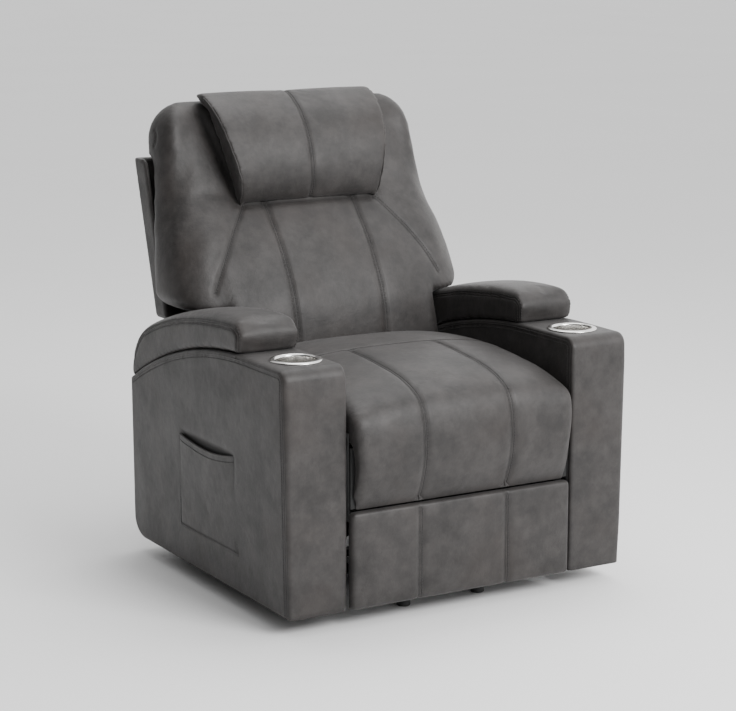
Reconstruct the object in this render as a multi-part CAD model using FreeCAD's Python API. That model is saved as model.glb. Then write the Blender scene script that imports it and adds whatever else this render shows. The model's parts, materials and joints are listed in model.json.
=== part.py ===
import FreeCAD, Part
import math
import os

# Upholstered power recliner.  X runs across the chair (+X is the sitter's left), Y runs to the
# rear and Z up.  Lengths are millimetres, measured from the arms' front plane (y = 0), the chair's
# middle plane (x = 0) and the floor (z = 0).  save() moves each finished piece back by `middleY`,
# so the stored origin is on the floor in the middle of the chair's outline.

# ---- overall sizes
chairWidth = 864.0
armWidth = 142.0
armDepth = 789.0
armTopZ = 580.0
bodyBottomZ = 40.0          # underside of the upholstered body above the floor
frontMostY = -36.0          # front of the seat roll
rearMostY = 901.0           # top rear edge of the outside back
middleY = (frontMostY + rearMostY) / 2

# ---- arms
armFrontRadius = 28.0
armFlatEndY = 175.0         # the arm's top starts to fall behind this
armFallRadius = 1310.0
armHeelRadius = 50.0
coverThickness = 4.0
boardThickness = 15.0
halfWidth = chairWidth / 2
armInnerX = halfWidth - armWidth

# ---- arm pads
padFrontY = 207.0
padHeight = 57.0            # side height at the front, over the arm
padRiseY = 694.0            # the pad is deepest here, just before it turns down
padRiseHeight = 81.0
padTailY = 796.0
padTailZ = armTopZ - 144.0
padEdgeRadius = 20.0
padCrown = 15.0             # how far the middle stands over the side seam
padSideClearance = 0.5

# ---- cup holders
cupX = halfWidth - 74.0
cupY = 98.0
cupFlangeHeight = 4.0
cupWellRadius = 44.0
cupFlangeRadius = cupWellRadius + 13.5
cupWellDepth = 72.0
cupWall = 1.2
cupHoleClearance = 0.8

# ---- side pocket on the sitter's right arm
pocketFrontY = 226.0
pocketRearY = 522.0
pocketBottomZ = 126.0
pocketTopZ = 352.0
pocketPanel = 3.0
pocketGap = 9.0             # free depth behind the panel at the mouth
pocketHem = 14.0
pocketMouthDrop = 20.0      # the pocket's side seams stop this far under its mouth
pocketSlack = 0.45          # share of the free depth that lies outside the arm's face

# ---- switch panel on the inner face of the sitter's right arm
switchY = 120.0
switchZ = armTopZ - 60.0
switchHeight = 34.0
switchPlate = 1.6
switchTrayDepth = cupX - cupWellRadius - cupWall - armInnerX - 5.8
switchTrayWall = 1.5
switchRim = (7.0, 5.0)      # how far the plate covers the tray along and across
buttonPitch = 26.0
buttonLength = 19.0
buttonHeight = 20.0
buttonProud = 1.4
buttonClearance = 0.4
buttonStem = 7.0
buttonCount = 4
switchLength = buttonPitch * buttonCount + 14.0

# ---- steel base
baseTube = 25.0
baseWall = 2.0
glideHeight = 14.0
glideRadius = 15.5
runnerX = 98.0
runnerFrontY = 71.5
crossFrontY = 330.0
crossRearY = 700.0
crossHalf = armInnerX + 40.0
rearGlideX = armInnerX + 10.0
platePlane = armInnerX - 1.0          # outer face of the base side plate
plateThickness = 5.0

# ---- seat carriage
railOuterX = armInnerX - 8.0
railWidth = 20.0
railHeight = 40.0
railWall = 2.0
railFrontY = 66.0
railRearY = 606.0
tiltPivotY = 500.0
tiltPivotZ = 225.0
seatCrossFrontY = 300.0
seatCrossRearY = 590.0
seatBoxTopZ = 398.0
seatBoxFrontY = 2.0
seatBoxRearY = 496.0
seatBoard = 18.0
springWire = 3.8
springRuns = 16             # straight runs in each zigzag spring
seatSpringRows = 6
seatSpringPitch = railOuterX * 84.0 / 282.0
seatSpringSway = 22.0

# ---- seat cushion
seatHalf = armInnerX - 8.0
seatTopZ = 545.0
seatRearY = 500.0
seatLipZ = 260.0
seatSideRadius = 18.0

# ---- back
backPivotY = 565.0
backPivotZ = 360.0
backTopY = 802.0
backTopZ = 985.0
postDepth = 30.0
postWidth = 20.0
postOuterX = armInnerX - 30.0
postWall = 2.0
hingePlate = 6.0
hingePlateX = armInnerX - 22.0
lugY = backPivotY + 8.4
lugZ = backPivotZ + 51.8
linkPivotY = 535.2
linkPivotZ = 282.0
linkPlaneX = armInnerX - 12.0
linkThickness = 5.0
wingHalf = halfWidth - 40.0
wingZ = 622.0
wingSetback = 95.0          # how far the front face draws back at the wings' outer edge
setbackSections = ((0.425, 0.0), (0.575, 0.12), (0.715, 0.34), (0.86, 0.65), (1.0, 1.0))
waistHalf = armInnerX - 9.0
topHalf = halfWidth - 87.0
topCornerRadius = 90.0
cushionTopZ = 1074.0
shellThickness = 12.0
shellHalf = halfWidth - 68.0
shellSideDepth = 62.0
shellLowY = 792.0
shellLowZ = 565.0
shellTopZ = 936.0
shellCornerRadius = 26.0
backLowZ = 462.0            # lower edge of the back's cushion
backSpringRows = 4
backSpringPitch = postOuterX * 100.0 / 260.0
backSpringSway = 24.0
backSpringLowZ = 470.0
backSpringHighZ = 930.0
backCrossLowZ = 450.0
backCrossHighZ = 950.0

# ---- head pillow
pillowTopHalf = topHalf - 110.0
pillowBottomHalf = pillowTopHalf - 48.0

# ---- footrest and its arms
legPivotY = 120.0
legPivotZ = 225.0
legArmLength = 203.0
legArmAngle = -50.0         # degrees from straight down, + towards the front
boardPivotY = 60.0
boardPivotZ = 205.0
footrestHalf = armInnerX - 14.0
footrestFrontY = -14.0
footrestBottomZ = 41.0
footrestTopZ = 257.0
footrestEdgeRadius = 10.0
footrestPad = 26.0
footrestBoard = 15.0
barWidth = 28.0
barThickness = 6.0
legArmX = armInnerX - 34.0             # outer face of the swinging arm
legLinkX = legArmX - 8.0
legBracketX = legLinkX - 8.0
torqueTubeRadius = 11.0
torqueTubeWall = 2.0

# ---- drives
actuatorX = 45.0
actuatorRearY = 430.0
actuatorRearZ = 85.0
actuatorFrontY = 176.0
actuatorFrontZ = 190.0
actuatorTubeRadius = 15.0
actuatorRodRadius = 9.0
actuatorStroke = 36.0
actuatorTubeLength = 160.0
gearCaseRadius = 26.0
gearCaseLength = 46.0
motorCanRadius = 20.0
motorCanLength = 100.0
clevisInside = 10.0         # from the drive's middle to the inside of each ear
clevisEar = 4.0
anchorBar = 16.0
gearX = -70.0
gearWidth = 56.0
gearRadius = 33.0
motorRadius = 24.0
motorLength = 120.0
controlHalfX = 75.0
controlDepth = 90.0
controlHeight = 34.0

# ---- rear skirt between the arms
skirtY = 770.0
skirtTopZ = 335.0
skirtBottomZ = 52.0
skirtThickness = 5.0
inletRadius = 5.5
inletDepth = 12.0
inletShell = 3.0
inletPin = 1.2
controlWall = 3.0

# ---- fits
pinRadius = 5.0
pinClearance = 0.05         # radial running clearance of every pivot
looseClearance = 1.2        # radial clearance at the pivots where a closed linkage is opened
fitGap = 0.3

V = FreeCAD.Vector


def save(name, *shapes):
    shape = shapes[0] if len(shapes) == 1 else Part.makeCompound(list(shapes))
    shape = shape.copy()
    shape.translate(V(0, -middleY, 0))
    shape.exportStep("parts/" + name + ".step")


def block(x0, x1, y0, y1, z0, z1):
    return Part.makeBox(x1 - x0, y1 - y0, z1 - z0, V(x0, y0, z0))


def mirrored(shape):
    return shape.mirror(V(0, 0, 0), V(1, 0, 0))


def barrel(x0, x1, y, z, radius):
    return Part.makeCylinder(radius, x1 - x0, V(x0, y, z), V(1, 0, 0))


def side(edges, x0, x1):
    """A closed outline in the YZ plane carried from x0 to x1."""
    face = Part.Face(Part.Wire(edges))
    face.translate(V(x0, 0, 0))
    return face.extrude(V(x1 - x0, 0, 0))


def chain(points):
    """Straight edges through (y, z) points, closed."""
    corners = [V(0, y, z) for y, z in points]
    return [Part.makeLine(a, b) for a, b in zip(corners, corners[1:] + corners[:1])]


def curve(points):
    """One smooth edge through (y, z) points."""
    spline = Part.BSplineCurve()
    spline.interpolate([V(0, y, z) for y, z in points])
    return spline.toShape()


def outline(points, depth0, depth1):
    """A closed outline of (x, z) points carried from y = depth0 to depth1."""
    corners = [V(x, depth0, z) for x, z in points]
    wire = Part.makePolygon(corners + corners[:1])
    return Part.Face(wire).extrude(V(0, depth1 - depth0, 0))


def roundEdges(shape, radius, wanted):
    edges = [edge for edge in shape.Edges if wanted(edge)]
    return shape.makeFillet(radius, edges)


def bar(x0, x1, start, end, width):
    """A flat link with round ends, from one (y, z) pivot to another."""
    (y0, z0), (y1, z1) = start, end
    length = math.hypot(y1 - y0, z1 - z0)
    across = V(0, (z1 - z0) / length, -(y1 - y0) / length) * (width / 2)
    a = V(x0, y0, z0)
    b = V(x0, y1, z1)
    wire = Part.makePolygon([a + across, b + across, b - across, a - across, a + across])
    middle = Part.Face(wire).extrude(V(x1 - x0, 0, 0))
    ends = [barrel(x0, x1, y0, z0, width / 2), barrel(x0, x1, y1, z1, width / 2)]
    return middle.fuse(ends).removeSplitter()


def hollowTube(x0, x1, y0, y1, z0, z1, wall, axis):
    outer = block(x0, x1, y0, y1, z0, z1)
    grow = [wall, wall, wall]
    grow[axis] = 0
    inner = block(x0 + grow[0], x1 - grow[0], y0 + grow[1], y1 - grow[1], z0 + grow[2], z1 - grow[2])
    return outer.cut(inner)


def armFall(y, radius=armFallRadius):
    """Height of the arm's top at y."""
    centreZ = armTopZ - armFallRadius
    return centreZ + math.sqrt(radius ** 2 - (y - armFlatEndY) ** 2)


def armProfile(inset):
    """The arm's side outline, drawn in by `inset` on every edge except its open bottom."""
    front = inset
    rear = armDepth - inset
    top = armTopZ - inset
    radius = armFrontRadius - inset
    heel = armHeelRadius - inset
    fall = armFallRadius - inset
    turn = math.sqrt(0.5)
    bottom = V(0, front, bodyBottomZ)
    noseLow = V(0, front, top - radius)
    noseMid = V(0, front + radius * (1 - turn), top - radius * (1 - turn))
    noseTop = V(0, front + radius, top)
    flatEnd = V(0, armFlatEndY, top)
    middle = (armFlatEndY + rear) / 2
    fallMid = V(0, middle, armFall(middle, fall))
    fallEnd = V(0, rear, armFall(rear, fall))
    heelTop = V(0, rear, bodyBottomZ + heel)
    heelMid = V(0, rear - heel * (1 - turn), bodyBottomZ + heel * (1 - turn))
    heelEnd = V(0, rear - heel, bodyBottomZ)
    return [
        Part.makeLine(bottom, noseLow),
        Part.Arc(noseLow, noseMid, noseTop).toShape(),
        Part.makeLine(noseTop, flatEnd),
        Part.Arc(flatEnd, fallMid, fallEnd).toShape(),
        Part.makeLine(fallEnd, heelTop),
        Part.Arc(heelTop, heelMid, heelEnd).toShape(),
        Part.makeLine(heelEnd, bottom),
    ]


def cupHole(clearance):
    low = armTopZ - cupWellDepth - clearance
    radius = cupWellRadius + cupWall + clearance
    return Part.makeCylinder(radius, cupWellDepth * 2, V(cupX, cupY, low))


def armCover():
    """The sewn cover: a thin skin over the boards, open underneath, with a hole for the cup."""
    outer = side(armProfile(0), armInnerX, halfWidth)
    inner = side(armProfile(coverThickness), armInnerX + coverThickness, halfWidth - coverThickness)
    return outer.cut([inner, cupHole(cupHoleClearance)])


def armBoards():
    """Two side boards, a front, a rear and the top's three lengths, all inside the cover."""
    inset = coverThickness + fitGap
    inner = inset + boardThickness
    x0 = armInnerX + inset
    x1 = halfWidth - inset
    whole = side(armProfile(inset), x0, x1)
    cavity = side(armProfile(inner), x0 - 1, x1 + 1)
    hoop = whole.cut(cavity)
    sideInner = whole.common(block(x0, x0 + boardThickness, 0, armDepth, 0, armTopZ))
    sideOuter = whole.common(block(x1 - boardThickness, x1, 0, armDepth, 0, armTopZ))
    between = (x0 + boardThickness + fitGap, x1 - boardThickness - fitGap)
    topFront = armTopZ - armFrontRadius - 2 * boardThickness
    front = hoop.common(block(*between, 0, inner, 0, topFront))
    tailZ = armFall(armDepth - inner, armFallRadius - inner) - boardThickness
    rear = hoop.common(block(*between, armDepth - inner, armDepth, 0, tailZ))
    top = hoop.common(block(*between, 0, armDepth, tailZ + fitGap, armTopZ))
    top = top.cut(block(*between, 0, inner, 0, topFront + fitGap))
    cupSide = cupWellRadius + cupWall + cupHoleClearance
    nose = top.common(block(*between, 0, cupY - cupSide, 0, armTopZ))
    flat = top.common(block(*between, cupY + cupSide, armFlatEndY, 0, armTopZ))
    slope = top.common(block(*between, armFlatEndY + fitGap, armDepth, 0, armTopZ))
    boards = [sideInner, sideOuter, front, rear, nose, flat, slope]
    return [board.cut(cupHole(cupHoleClearance)) for board in boards]


def padProfile():
    """Side outline of the arm pad: it sits on the arm's fall and thins towards the rear."""
    under = armFallRadius + fitGap
    low = armTopZ + fitGap
    tail = armDepth - 1.0
    start = V(0, padFrontY + 4, low)
    mid = (armFlatEndY + tail) / 2
    underMid = V(0, mid, armFall(mid, under))
    underEnd = V(0, tail, armFall(tail, under))
    flatEnd = V(0, padFrontY + 5, low)
    topFront = (padFrontY + 26, armTopZ + padHeight + padCrown - 5)
    tailEnd = (padTailY, padTailZ)
    points = [topFront]
    for y in (330.0, 450.0, 575.0, padRiseY):
        share = (y - padFrontY) / (padRiseY - padFrontY)
        height = padHeight + (padRiseHeight - padHeight) * share ** 1.6
        points.append((y, armFall(y) + height + padCrown))
    points += [(750.0, armFall(750.0) + padRiseHeight + 9), (785.0, armFall(785.0) + 60), tailEnd]
    crown = curve(points)
    nose = V(0, padFrontY, armTopZ + padHeight - 18)
    return [
        Part.makeLine(start, nose),
        Part.makeLine(nose, V(0, *topFront)),
        crown,
        Part.makeLine(V(0, *tailEnd), underEnd),
        Part.Arc(underEnd, underMid, V(0, flatEnd.y, armFall(flatEnd.y, under))).toShape(),
        Part.makeLine(V(0, flatEnd.y, armFall(flatEnd.y, under)), start),
    ]


def armPad():
    x0 = armInnerX + padSideClearance
    x1 = halfWidth - padSideClearance
    solid = side(padProfile(), x0, x1)

    def longTop(edge):
        box = edge.BoundBox
        return box.XLength < 1e-3 and box.YLength > 300 and box.ZMax > armTopZ + padHeight

    return roundEdges(solid, padEdgeRadius, longTop)


def cupHolder():
    """A pressed steel cup: a domed flange on the arm's top and a round well with a flat floor."""
    low = armTopZ + fitGap
    floorZ = armTopZ - cupWellDepth
    outer = cupWellRadius + cupWall
    flange = Part.makeCylinder(cupFlangeRadius, cupFlangeHeight, V(cupX, cupY, low))
    flange = roundEdges(flange, cupFlangeHeight * 0.7, lambda e: e.BoundBox.ZMin > low + 1)
    well = Part.makeCylinder(outer, low + 1 - floorZ, V(cupX, cupY, floorZ))
    hollow = Part.makeCylinder(cupWellRadius, cupWellDepth * 2, V(cupX, cupY, floorZ + cupWall))
    return flange.fuse(well).cut(hollow).removeSplitter()


def pocket():
    """A patch pocket on the outer face of the sitter's right arm, joined on three sides."""
    face = -halfWidth
    outer = face - pocketGap * pocketSlack - pocketPanel
    panel = block(outer, outer + pocketPanel, pocketFrontY, pocketRearY, pocketBottomZ, pocketTopZ)
    walls = []
    for y0, y1 in ((pocketFrontY, pocketFrontY + pocketHem), (pocketRearY - pocketHem, pocketRearY)):
        walls.append(block(outer, face, y0, y1, pocketBottomZ, pocketTopZ - pocketMouthDrop))
    walls.append(block(outer, face, pocketFrontY, pocketRearY, pocketBottomZ, pocketBottomZ + pocketHem))
    return panel.fuse(walls).removeSplitter()


def pocketRecess():
    """The soft hollow in the arm's padding behind the pocket's mouth."""
    deep = pocketGap * (1 - pocketSlack)
    y0 = pocketFrontY + pocketHem
    y1 = pocketRearY - pocketHem
    z0 = pocketBottomZ + pocketHem
    return block(-halfWidth - 1, -halfWidth + deep, y0, y1, z0, pocketTopZ + 12)


def switchCentre(index):
    return switchY + (index - (buttonCount - 1) / 2) * buttonPitch


def switchCavity():
    """Room behind the switch panel, through the cover and the inner board."""
    x0 = -armInnerX - coverThickness - boardThickness - 20
    half = switchLength / 2 - switchRim[0]
    tall = switchHeight / 2 - switchRim[1]
    return block(x0, -armInnerX + 1, switchY - half, switchY + half, switchZ - tall, switchZ + tall)


def switchBlock(x0, x1, halfY, halfZ, y=switchY):
    return block(x0, x1, y - halfY, y + halfY, switchZ - halfZ, switchZ + halfZ)


def switchPanel():
    """A thin plate on the arm's inner face over a shallow box, with a window for each button."""
    face = -armInnerX
    back = face - switchTrayDepth
    wall = switchTrayWall
    plate = switchBlock(face, face + switchPlate, switchLength / 2, switchHeight / 2)
    halfY = switchLength / 2 - switchRim[0] - fitGap
    halfZ = switchHeight / 2 - switchRim[1] - fitGap
    tray = switchBlock(back, face + 0.5, halfY, halfZ)
    hollow = switchBlock(back + wall, face - wall, halfY - wall, halfZ - wall)
    shape = plate.fuse(tray).cut(hollow)
    windowY = buttonLength / 2 + buttonClearance
    windowZ = buttonHeight / 2 + buttonClearance
    windows = [switchBlock(face - 2, face + 5, windowY, windowZ, switchCentre(i)) for i in range(buttonCount)]
    return shape.cut(windows)


def button(index):
    x1 = -armInnerX + switchPlate + buttonProud
    y = switchCentre(index)
    halfY = buttonLength / 2
    halfZ = buttonHeight / 2
    cap = block(x1 - buttonStem, x1, y - halfY, y + halfY, switchZ - halfZ, switchZ + halfZ)
    return roundEdges(cap, 1.0, lambda e: e.BoundBox.XMin > x1 - 0.1)


def runner(sign):
    """A lengthwise floor tube; the cross tubes butt against it."""
    x = sign * runnerX
    z0 = glideHeight
    half = baseTube / 2
    return hollowTube(x - half, x + half, runnerFrontY, crossRearY + half, z0, z0 + baseTube, baseWall, 1)


def crossTube(y):
    half = baseTube / 2
    z0 = glideHeight
    outer = hollowTube(-crossHalf, crossHalf, y - half, y + half, z0, z0 + baseTube, baseWall, 0)
    for sign in (-1, 1):
        x = sign * runnerX
        outer = outer.cut(block(x - half, x + half, y - half - 1, y + half + 1, 0, 100))
    return outer


def glides():
    spots = [(sign * runnerX, runnerFrontY + baseTube / 2) for sign in (-1, 1)]
    spots += [(sign * rearGlideX, crossRearY) for sign in (-1, 1)]
    solids = []
    for x, y in spots:
        foot = Part.makeCylinder(glideRadius, glideHeight, V(x, y, 0))
        solids.append(roundEdges(foot, 3.0, lambda e: e.BoundBox.ZMax < 0.1))
    return solids


def sidePlate():
    """The pressed plate on the arm's inner face: it stands on the cross tubes and holds the pivots."""
    low = glideHeight + baseTube + fitGap
    corners = [
        (crossFrontY - 40, low), (crossFrontY - 40, 90), (tiltPivotY - 60, tiltPivotZ + 30),
        (linkPivotY - 22, linkPivotZ + 24), (linkPivotY + 22, linkPivotZ + 24),
        (tiltPivotY + 90, tiltPivotZ + 20), (crossRearY + 12, 110), (crossRearY + 12, low),
    ]
    plate = side(chain(corners), platePlane - plateThickness, platePlane)
    holes = [
        barrel(0, 400, tiltPivotY, tiltPivotZ, pinRadius),
        barrel(0, 400, linkPivotY, linkPivotZ, pinRadius),
    ]
    window = side(chain([(440, 70), (440, 160), (600, 160), (600, 70)]), 200, 400)
    return plate.cut(holes + [window])


def tiltPin():
    """A shouldered pin, fixed in the base plate, that carries the seat rail."""
    shaft = barrel(railOuterX - railWidth - 3, platePlane, tiltPivotY, tiltPivotZ, pinRadius)
    collar = barrel(railOuterX + fitGap, platePlane - plateThickness, tiltPivotY, tiltPivotZ, pinRadius + 5)
    return shaft.fuse(collar).removeSplitter()


def linkPin():
    """The recline link's lower pin, fixed in the base plate."""
    start = linkPlaneX - linkThickness - 2
    seatX = platePlane - plateThickness
    shaft = barrel(start, platePlane, linkPivotY, linkPivotZ, pinRadius)
    collar = barrel(linkPlaneX + fitGap, seatX, linkPivotY, linkPivotZ, pinRadius + 4)
    return shaft.fuse(collar).removeSplitter()


def seatRail():
    x0 = railOuterX - railWidth
    z0 = tiltPivotZ - railHeight / 2
    tube = hollowTube(x0, railOuterX, railFrontY, railRearY, z0, z0 + railHeight, railWall, 1)
    holes = [
        barrel(0, 400, tiltPivotY, tiltPivotZ, pinRadius + pinClearance),
        barrel(0, 400, legPivotY, legPivotZ, torqueTubeRadius + pinClearance),
    ]
    return tube.cut(holes)


def seatCross(y):
    x = railOuterX - railWidth
    z0 = tiltPivotZ - railHeight / 2
    return hollowTube(-x, x, y - 12, y + 12, z0 + 8, z0 + 32, railWall, 0)


def hingeBracket():
    """A plate on the seat rail that carries the back's pivot."""
    top = tiltPivotZ + railHeight / 2
    x0 = hingePlateX - hingePlate
    corners = [(530, top), (backPivotY - 18, backPivotZ), (backPivotY + 18, backPivotZ), (602, top)]
    plate = side(chain(corners), x0, hingePlateX)
    plate = plate.fuse(barrel(x0, hingePlateX, backPivotY, backPivotZ, 18)).removeSplitter()
    return plate.cut(barrel(0, 400, backPivotY, backPivotZ, pinRadius))


def backPin():
    """The back's pivot pin, fixed in the seat's hinge bracket."""
    x0 = postOuterX - postWidth
    return barrel(x0 - 3, hingePlateX, backPivotY, backPivotZ, pinRadius)


def seatSideBoard():
    z0 = tiltPivotZ + railHeight / 2
    x0 = railOuterX - seatBoard - 2
    return block(x0, railOuterX - 2, seatBoxFrontY + seatBoard, seatBoxRearY, z0, seatBoxTopZ)


def seatFrontBoard():
    z0 = seatLipZ + 4
    half = railOuterX - 2
    return block(-half, half, seatBoxFrontY, seatBoxFrontY + seatBoard, z0, seatBoxTopZ)


def seatRearBoard():
    half = railOuterX - seatBoard - 2
    z0 = tiltPivotZ + railHeight / 2 + 60
    return block(-half, half, seatBoxRearY - seatBoard, seatBoxRearY, z0, seatBoxTopZ)


def wireSpring(points):
    pieces = []
    for a, b in zip(points, points[1:]):
        pieces.append(Part.makeCylinder(springWire / 2, (b - a).Length, a, b - a))
    for joint in points[1:-1]:
        pieces.append(Part.makeSphere(springWire / 2, joint))
    return pieces[0].fuse(pieces[1:])


def zigzagRow(start, end, sway, rows, pitch):
    """A row of zigzag springs side by side, each from `start` to `end` in its own plane."""
    springs = []
    for row in range(rows):
        x = (row - (rows - 1) / 2) * pitch
        points = []
        for step in range(springRuns + 1):
            swing = 0 if step in (0, springRuns) else (sway if step % 2 else -sway)
            points.append(start + (end - start) * (step / springRuns) + V(x + swing, 0, 0))
        springs.append(wireSpring(points))
    return springs


def seatSprings():
    """Springs from the front board to the rear board, on top of the box."""
    z = seatBoxTopZ + springWire / 2 + fitGap
    start = V(0, seatBoxFrontY + 8, z)
    end = V(0, seatBoxRearY - 8, z)
    return zigzagRow(start, end, seatSpringSway, seatSpringRows, seatSpringPitch)


def seatCushion():
    """Foam and cover in one: a rounded front roll that drops to the lip, and a crowned top."""
    low = seatBoxTopZ + springWire + 4 * fitGap
    front = curve([
        (seatBoxFrontY - 1.5, seatLipZ), (frontMostY + 7, 335), (frontMostY + 1, 393),
        (frontMostY + 5, 430), (-9, seatTopZ - 58), (24, seatTopZ - 37), (69, seatTopZ - 22),
        (155, seatTopZ - 9), (259, seatTopZ), (400, seatTopZ - 2), (seatRearY - 6, seatTopZ - 9),
    ])
    rear = [V(0, seatRearY - 6, seatTopZ - 9), V(0, seatRearY, seatTopZ - 45), V(0, seatRearY, low)]
    inner = [V(0, seatBoxFrontY - 1.5, low), V(0, seatBoxFrontY - 1.5, seatLipZ)]
    corners = rear + inner
    edges = [front] + [Part.makeLine(a, b) for a, b in zip(corners, corners[1:])]
    solid = side(edges, -seatHalf, seatHalf)

    def ends(edge):
        box = edge.BoundBox
        return box.XLength < 1e-3 and box.YLength > 300 and box.ZMax > seatTopZ - 25

    return roundEdges(solid, seatSideRadius, ends)


def postAxis(z):
    """Middle of the back posts at height z."""
    share = (z - backPivotZ) / (backTopZ - backPivotZ)
    return backPivotY + 6 + (backTopY - backPivotY - 6) * share


def slantedBlock(x0, x1, z0, z1, rear, front):
    """A block that leans with the back posts: `front` and `rear` are depths about their middle."""
    corners = [
        (postAxis(z0) - front, z0), (postAxis(z1) - front, z1),
        (postAxis(z1) + rear, z1), (postAxis(z0) + rear, z0),
    ]
    return side(chain(corners), x0, x1)


def backPost():
    half = postDepth / 2
    x0 = postOuterX - postWidth
    outer = slantedBlock(x0, postOuterX, backPivotZ - 25, backTopZ, half, half)
    wall = postWall
    core = half - wall
    inner = slantedBlock(x0 + wall, postOuterX - wall, backPivotZ - 26, backTopZ + 1, core, core)
    lug = bar(postOuterX, postOuterX + 1.7, (lugY, lugZ), (postAxis(lugZ), lugZ + 6), 24)
    boss = barrel(x0, postOuterX, backPivotY, backPivotZ, pinRadius + 4)
    holes = [barrel(0, 400, backPivotY, backPivotZ, pinRadius + pinClearance)]
    return outer.cut(inner).fuse([lug, boss]).removeSplitter().cut(holes)


def lugPin():
    """The recline link's upper pin: it is fixed to the back post and runs in the link."""
    return barrel(postOuterX + 1.7, linkPlaneX + 1, lugY, lugZ, pinRadius)


def reclineLink():
    x0 = linkPlaneX - linkThickness
    link = bar(x0, linkPlaneX, (linkPivotY, linkPivotZ), (lugY, lugZ), 24)
    fixed = barrel(0, 400, linkPivotY, linkPivotZ, pinRadius + pinClearance)
    opened = barrel(0, 400, lugY, lugZ, pinRadius + looseClearance)
    return link.cut([fixed, opened])


def backCross(z):
    x = postOuterX - postWidth
    half = 10.0
    return slantedBlock(-x, x, z - half, z + half, 9, 9)


def backSprings():
    """Springs up the front of the back frame, from its lower cross bar to its upper one."""
    start = V(0, postAxis(backSpringLowZ) - 12, backSpringLowZ)
    end = V(0, postAxis(backSpringHighZ) - 12, backSpringHighZ)
    return zigzagRow(start, end, backSpringSway, backSpringRows, backSpringPitch)


def backOutline():
    """Front view of the back: narrow between the arms, winged above the pads, rounded on top."""
    right = [
        (waistHalf, backLowZ), (waistHalf, wingZ - 6), (wingHalf - 24, wingZ), (wingHalf, wingZ + 26),
        (wingHalf - 3, 680), (wingHalf - 18, 800), (topHalf, 1000),
    ]
    for step in range(1, 9):
        angle = math.radians(90 * step / 9)
        x = topHalf - topCornerRadius * (1 - math.cos(angle))
        right.append((x, cushionTopZ - 84 + topCornerRadius * math.sin(angle)))
    right.append((topHalf - topCornerRadius, cushionTopZ + 10))
    left = [(-x, z) for x, z in reversed(right)]
    return outline(right + left, 400, 1000)


def backSection(x, setback):
    """Side outline of the back's cushion at x, its front face drawn back by up to `setback`."""
    lowZ = backLowZ
    top = cushionTopZ
    overShell = shellTopZ + 2
    inFront = shellSideDepth + 1.5
    crown = curve([
        (516 + 0.25 * setback, lowZ), (525 + 0.6 * setback, 538), (540 + 0.9 * setback, 607),
        (572 + setback, 679), (619 + setback, 755), (676 + setback, 822),
        (722 + 0.8 * setback, top - 174), (760 + 0.45 * setback, top - 94),
        (798 + 0.15 * setback, top - 30), (836, top), (868, top - 34), (877, top - 84),
    ])
    rear = [
        (877, top - 84), (868, overShell), (shellRear(overShell) - inFront, overShell),
        (shellRear(shellLowZ) - inFront, shellLowZ), (postAxis(lowZ) - 22, lowZ),
        (516 + 0.25 * setback, lowZ),
    ]
    corners = [V(0, y, z) for y, z in rear]
    wire = Part.Wire([crown] + [Part.makeLine(a, b) for a, b in zip(corners, corners[1:])])
    wire.translate(V(x, 0, 0))
    return wire


def backCushion():
    """Foam and cover of the back: the front face draws back towards each side, behind its middle."""
    reach = wingHalf + 8
    right = [backSection(reach * share, wingSetback * depth) for share, depth in setbackSections]
    left = [backSection(-reach * share, wingSetback * depth) for share, depth in setbackSections]
    solid = Part.makeLoft(left[::-1] + right, True, True).common(backOutline())
    frameRoom = slantedBlock(-postOuterX - 3, postOuterX + 3, 380, backTopZ + 4, 200, 20)
    frameRoom = frameRoom.cut(slantedBlock(-reach, reach, shellTopZ + 2, cushionTopZ + 26, 300, -18))
    return solid.cut(frameRoom)


def shellRear(z):
    """Rear face of the outside back at height z."""
    share = (z - shellLowZ) / (shellTopZ - shellLowZ)
    return shellLowY + (rearMostY - shellLowY) * share


def backShell():
    """The outside back: a padded panel with side wings that turn forward round the posts."""
    lowZ = shellLowZ
    topZ = shellTopZ

    def slab(half, inset, cutTop):
        corners = [
            (shellRear(lowZ) - shellSideDepth, lowZ - cutTop),
            (shellRear(topZ) - shellSideDepth, topZ + cutTop),
            (shellRear(topZ) - inset, topZ + cutTop),
            (shellRear(lowZ) - inset, lowZ - cutTop),
        ]
        return side(chain(corners), -half, half)

    def wingTop(edge):
        box = edge.BoundBox
        return box.XLength > 1 and box.ZMin > topZ - 1 and box.YMax < shellRear(topZ) - shellSideDepth + 1

    outer = slab(shellHalf, 0, 0)
    inner = slab(shellHalf - shellThickness, shellThickness, 40)
    return roundEdges(outer.cut(inner), shellCornerRadius, wingTop)


def pillow():
    """The head pillow: a rounded bolster that hangs over the top of the back."""
    top = cushionTopZ + 17
    front = curve([
        (694, 834), (676, 866), (672, 913), (678, top - 132), (694, top - 92), (718, top - 57),
        (754, top - 25), (806, top),
    ])
    rear = [
        (806, top), (842, top - 7), (826, cushionTopZ + 2), (774, top - 42), (737, top - 109),
        (709, 902), (694, 834),
    ]
    corners = [V(0, y, z) for y, z in rear]
    edges = [front] + [Part.makeLine(a, b) for a, b in zip(corners, corners[1:])]
    solid = side(edges, -300, 300)
    low, high = pillowBottomHalf, pillowTopHalf
    right = [(low, 800), (low + 4, 850), (high, top + 4)]
    left = [(-x, z) for x, z in reversed(right)]
    trim = outline(right + left, 500, 1000)
    return solid.common(trim).cut(backCushion())


def legKnee():
    angle = math.radians(legArmAngle)
    y = legPivotY - legArmLength * math.sin(angle)
    z = legPivotZ - legArmLength * math.cos(angle)
    return y, z


def torqueTube():
    """The cross tube that both footrest arms are welded to; it turns in the seat rails."""
    half = railOuterX + 1
    tube = barrel(-half, half, legPivotY, legPivotZ, torqueTubeRadius)
    return tube.cut(barrel(-half - 1, half + 1, legPivotY, legPivotZ, torqueTubeRadius - torqueTubeWall))


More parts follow.
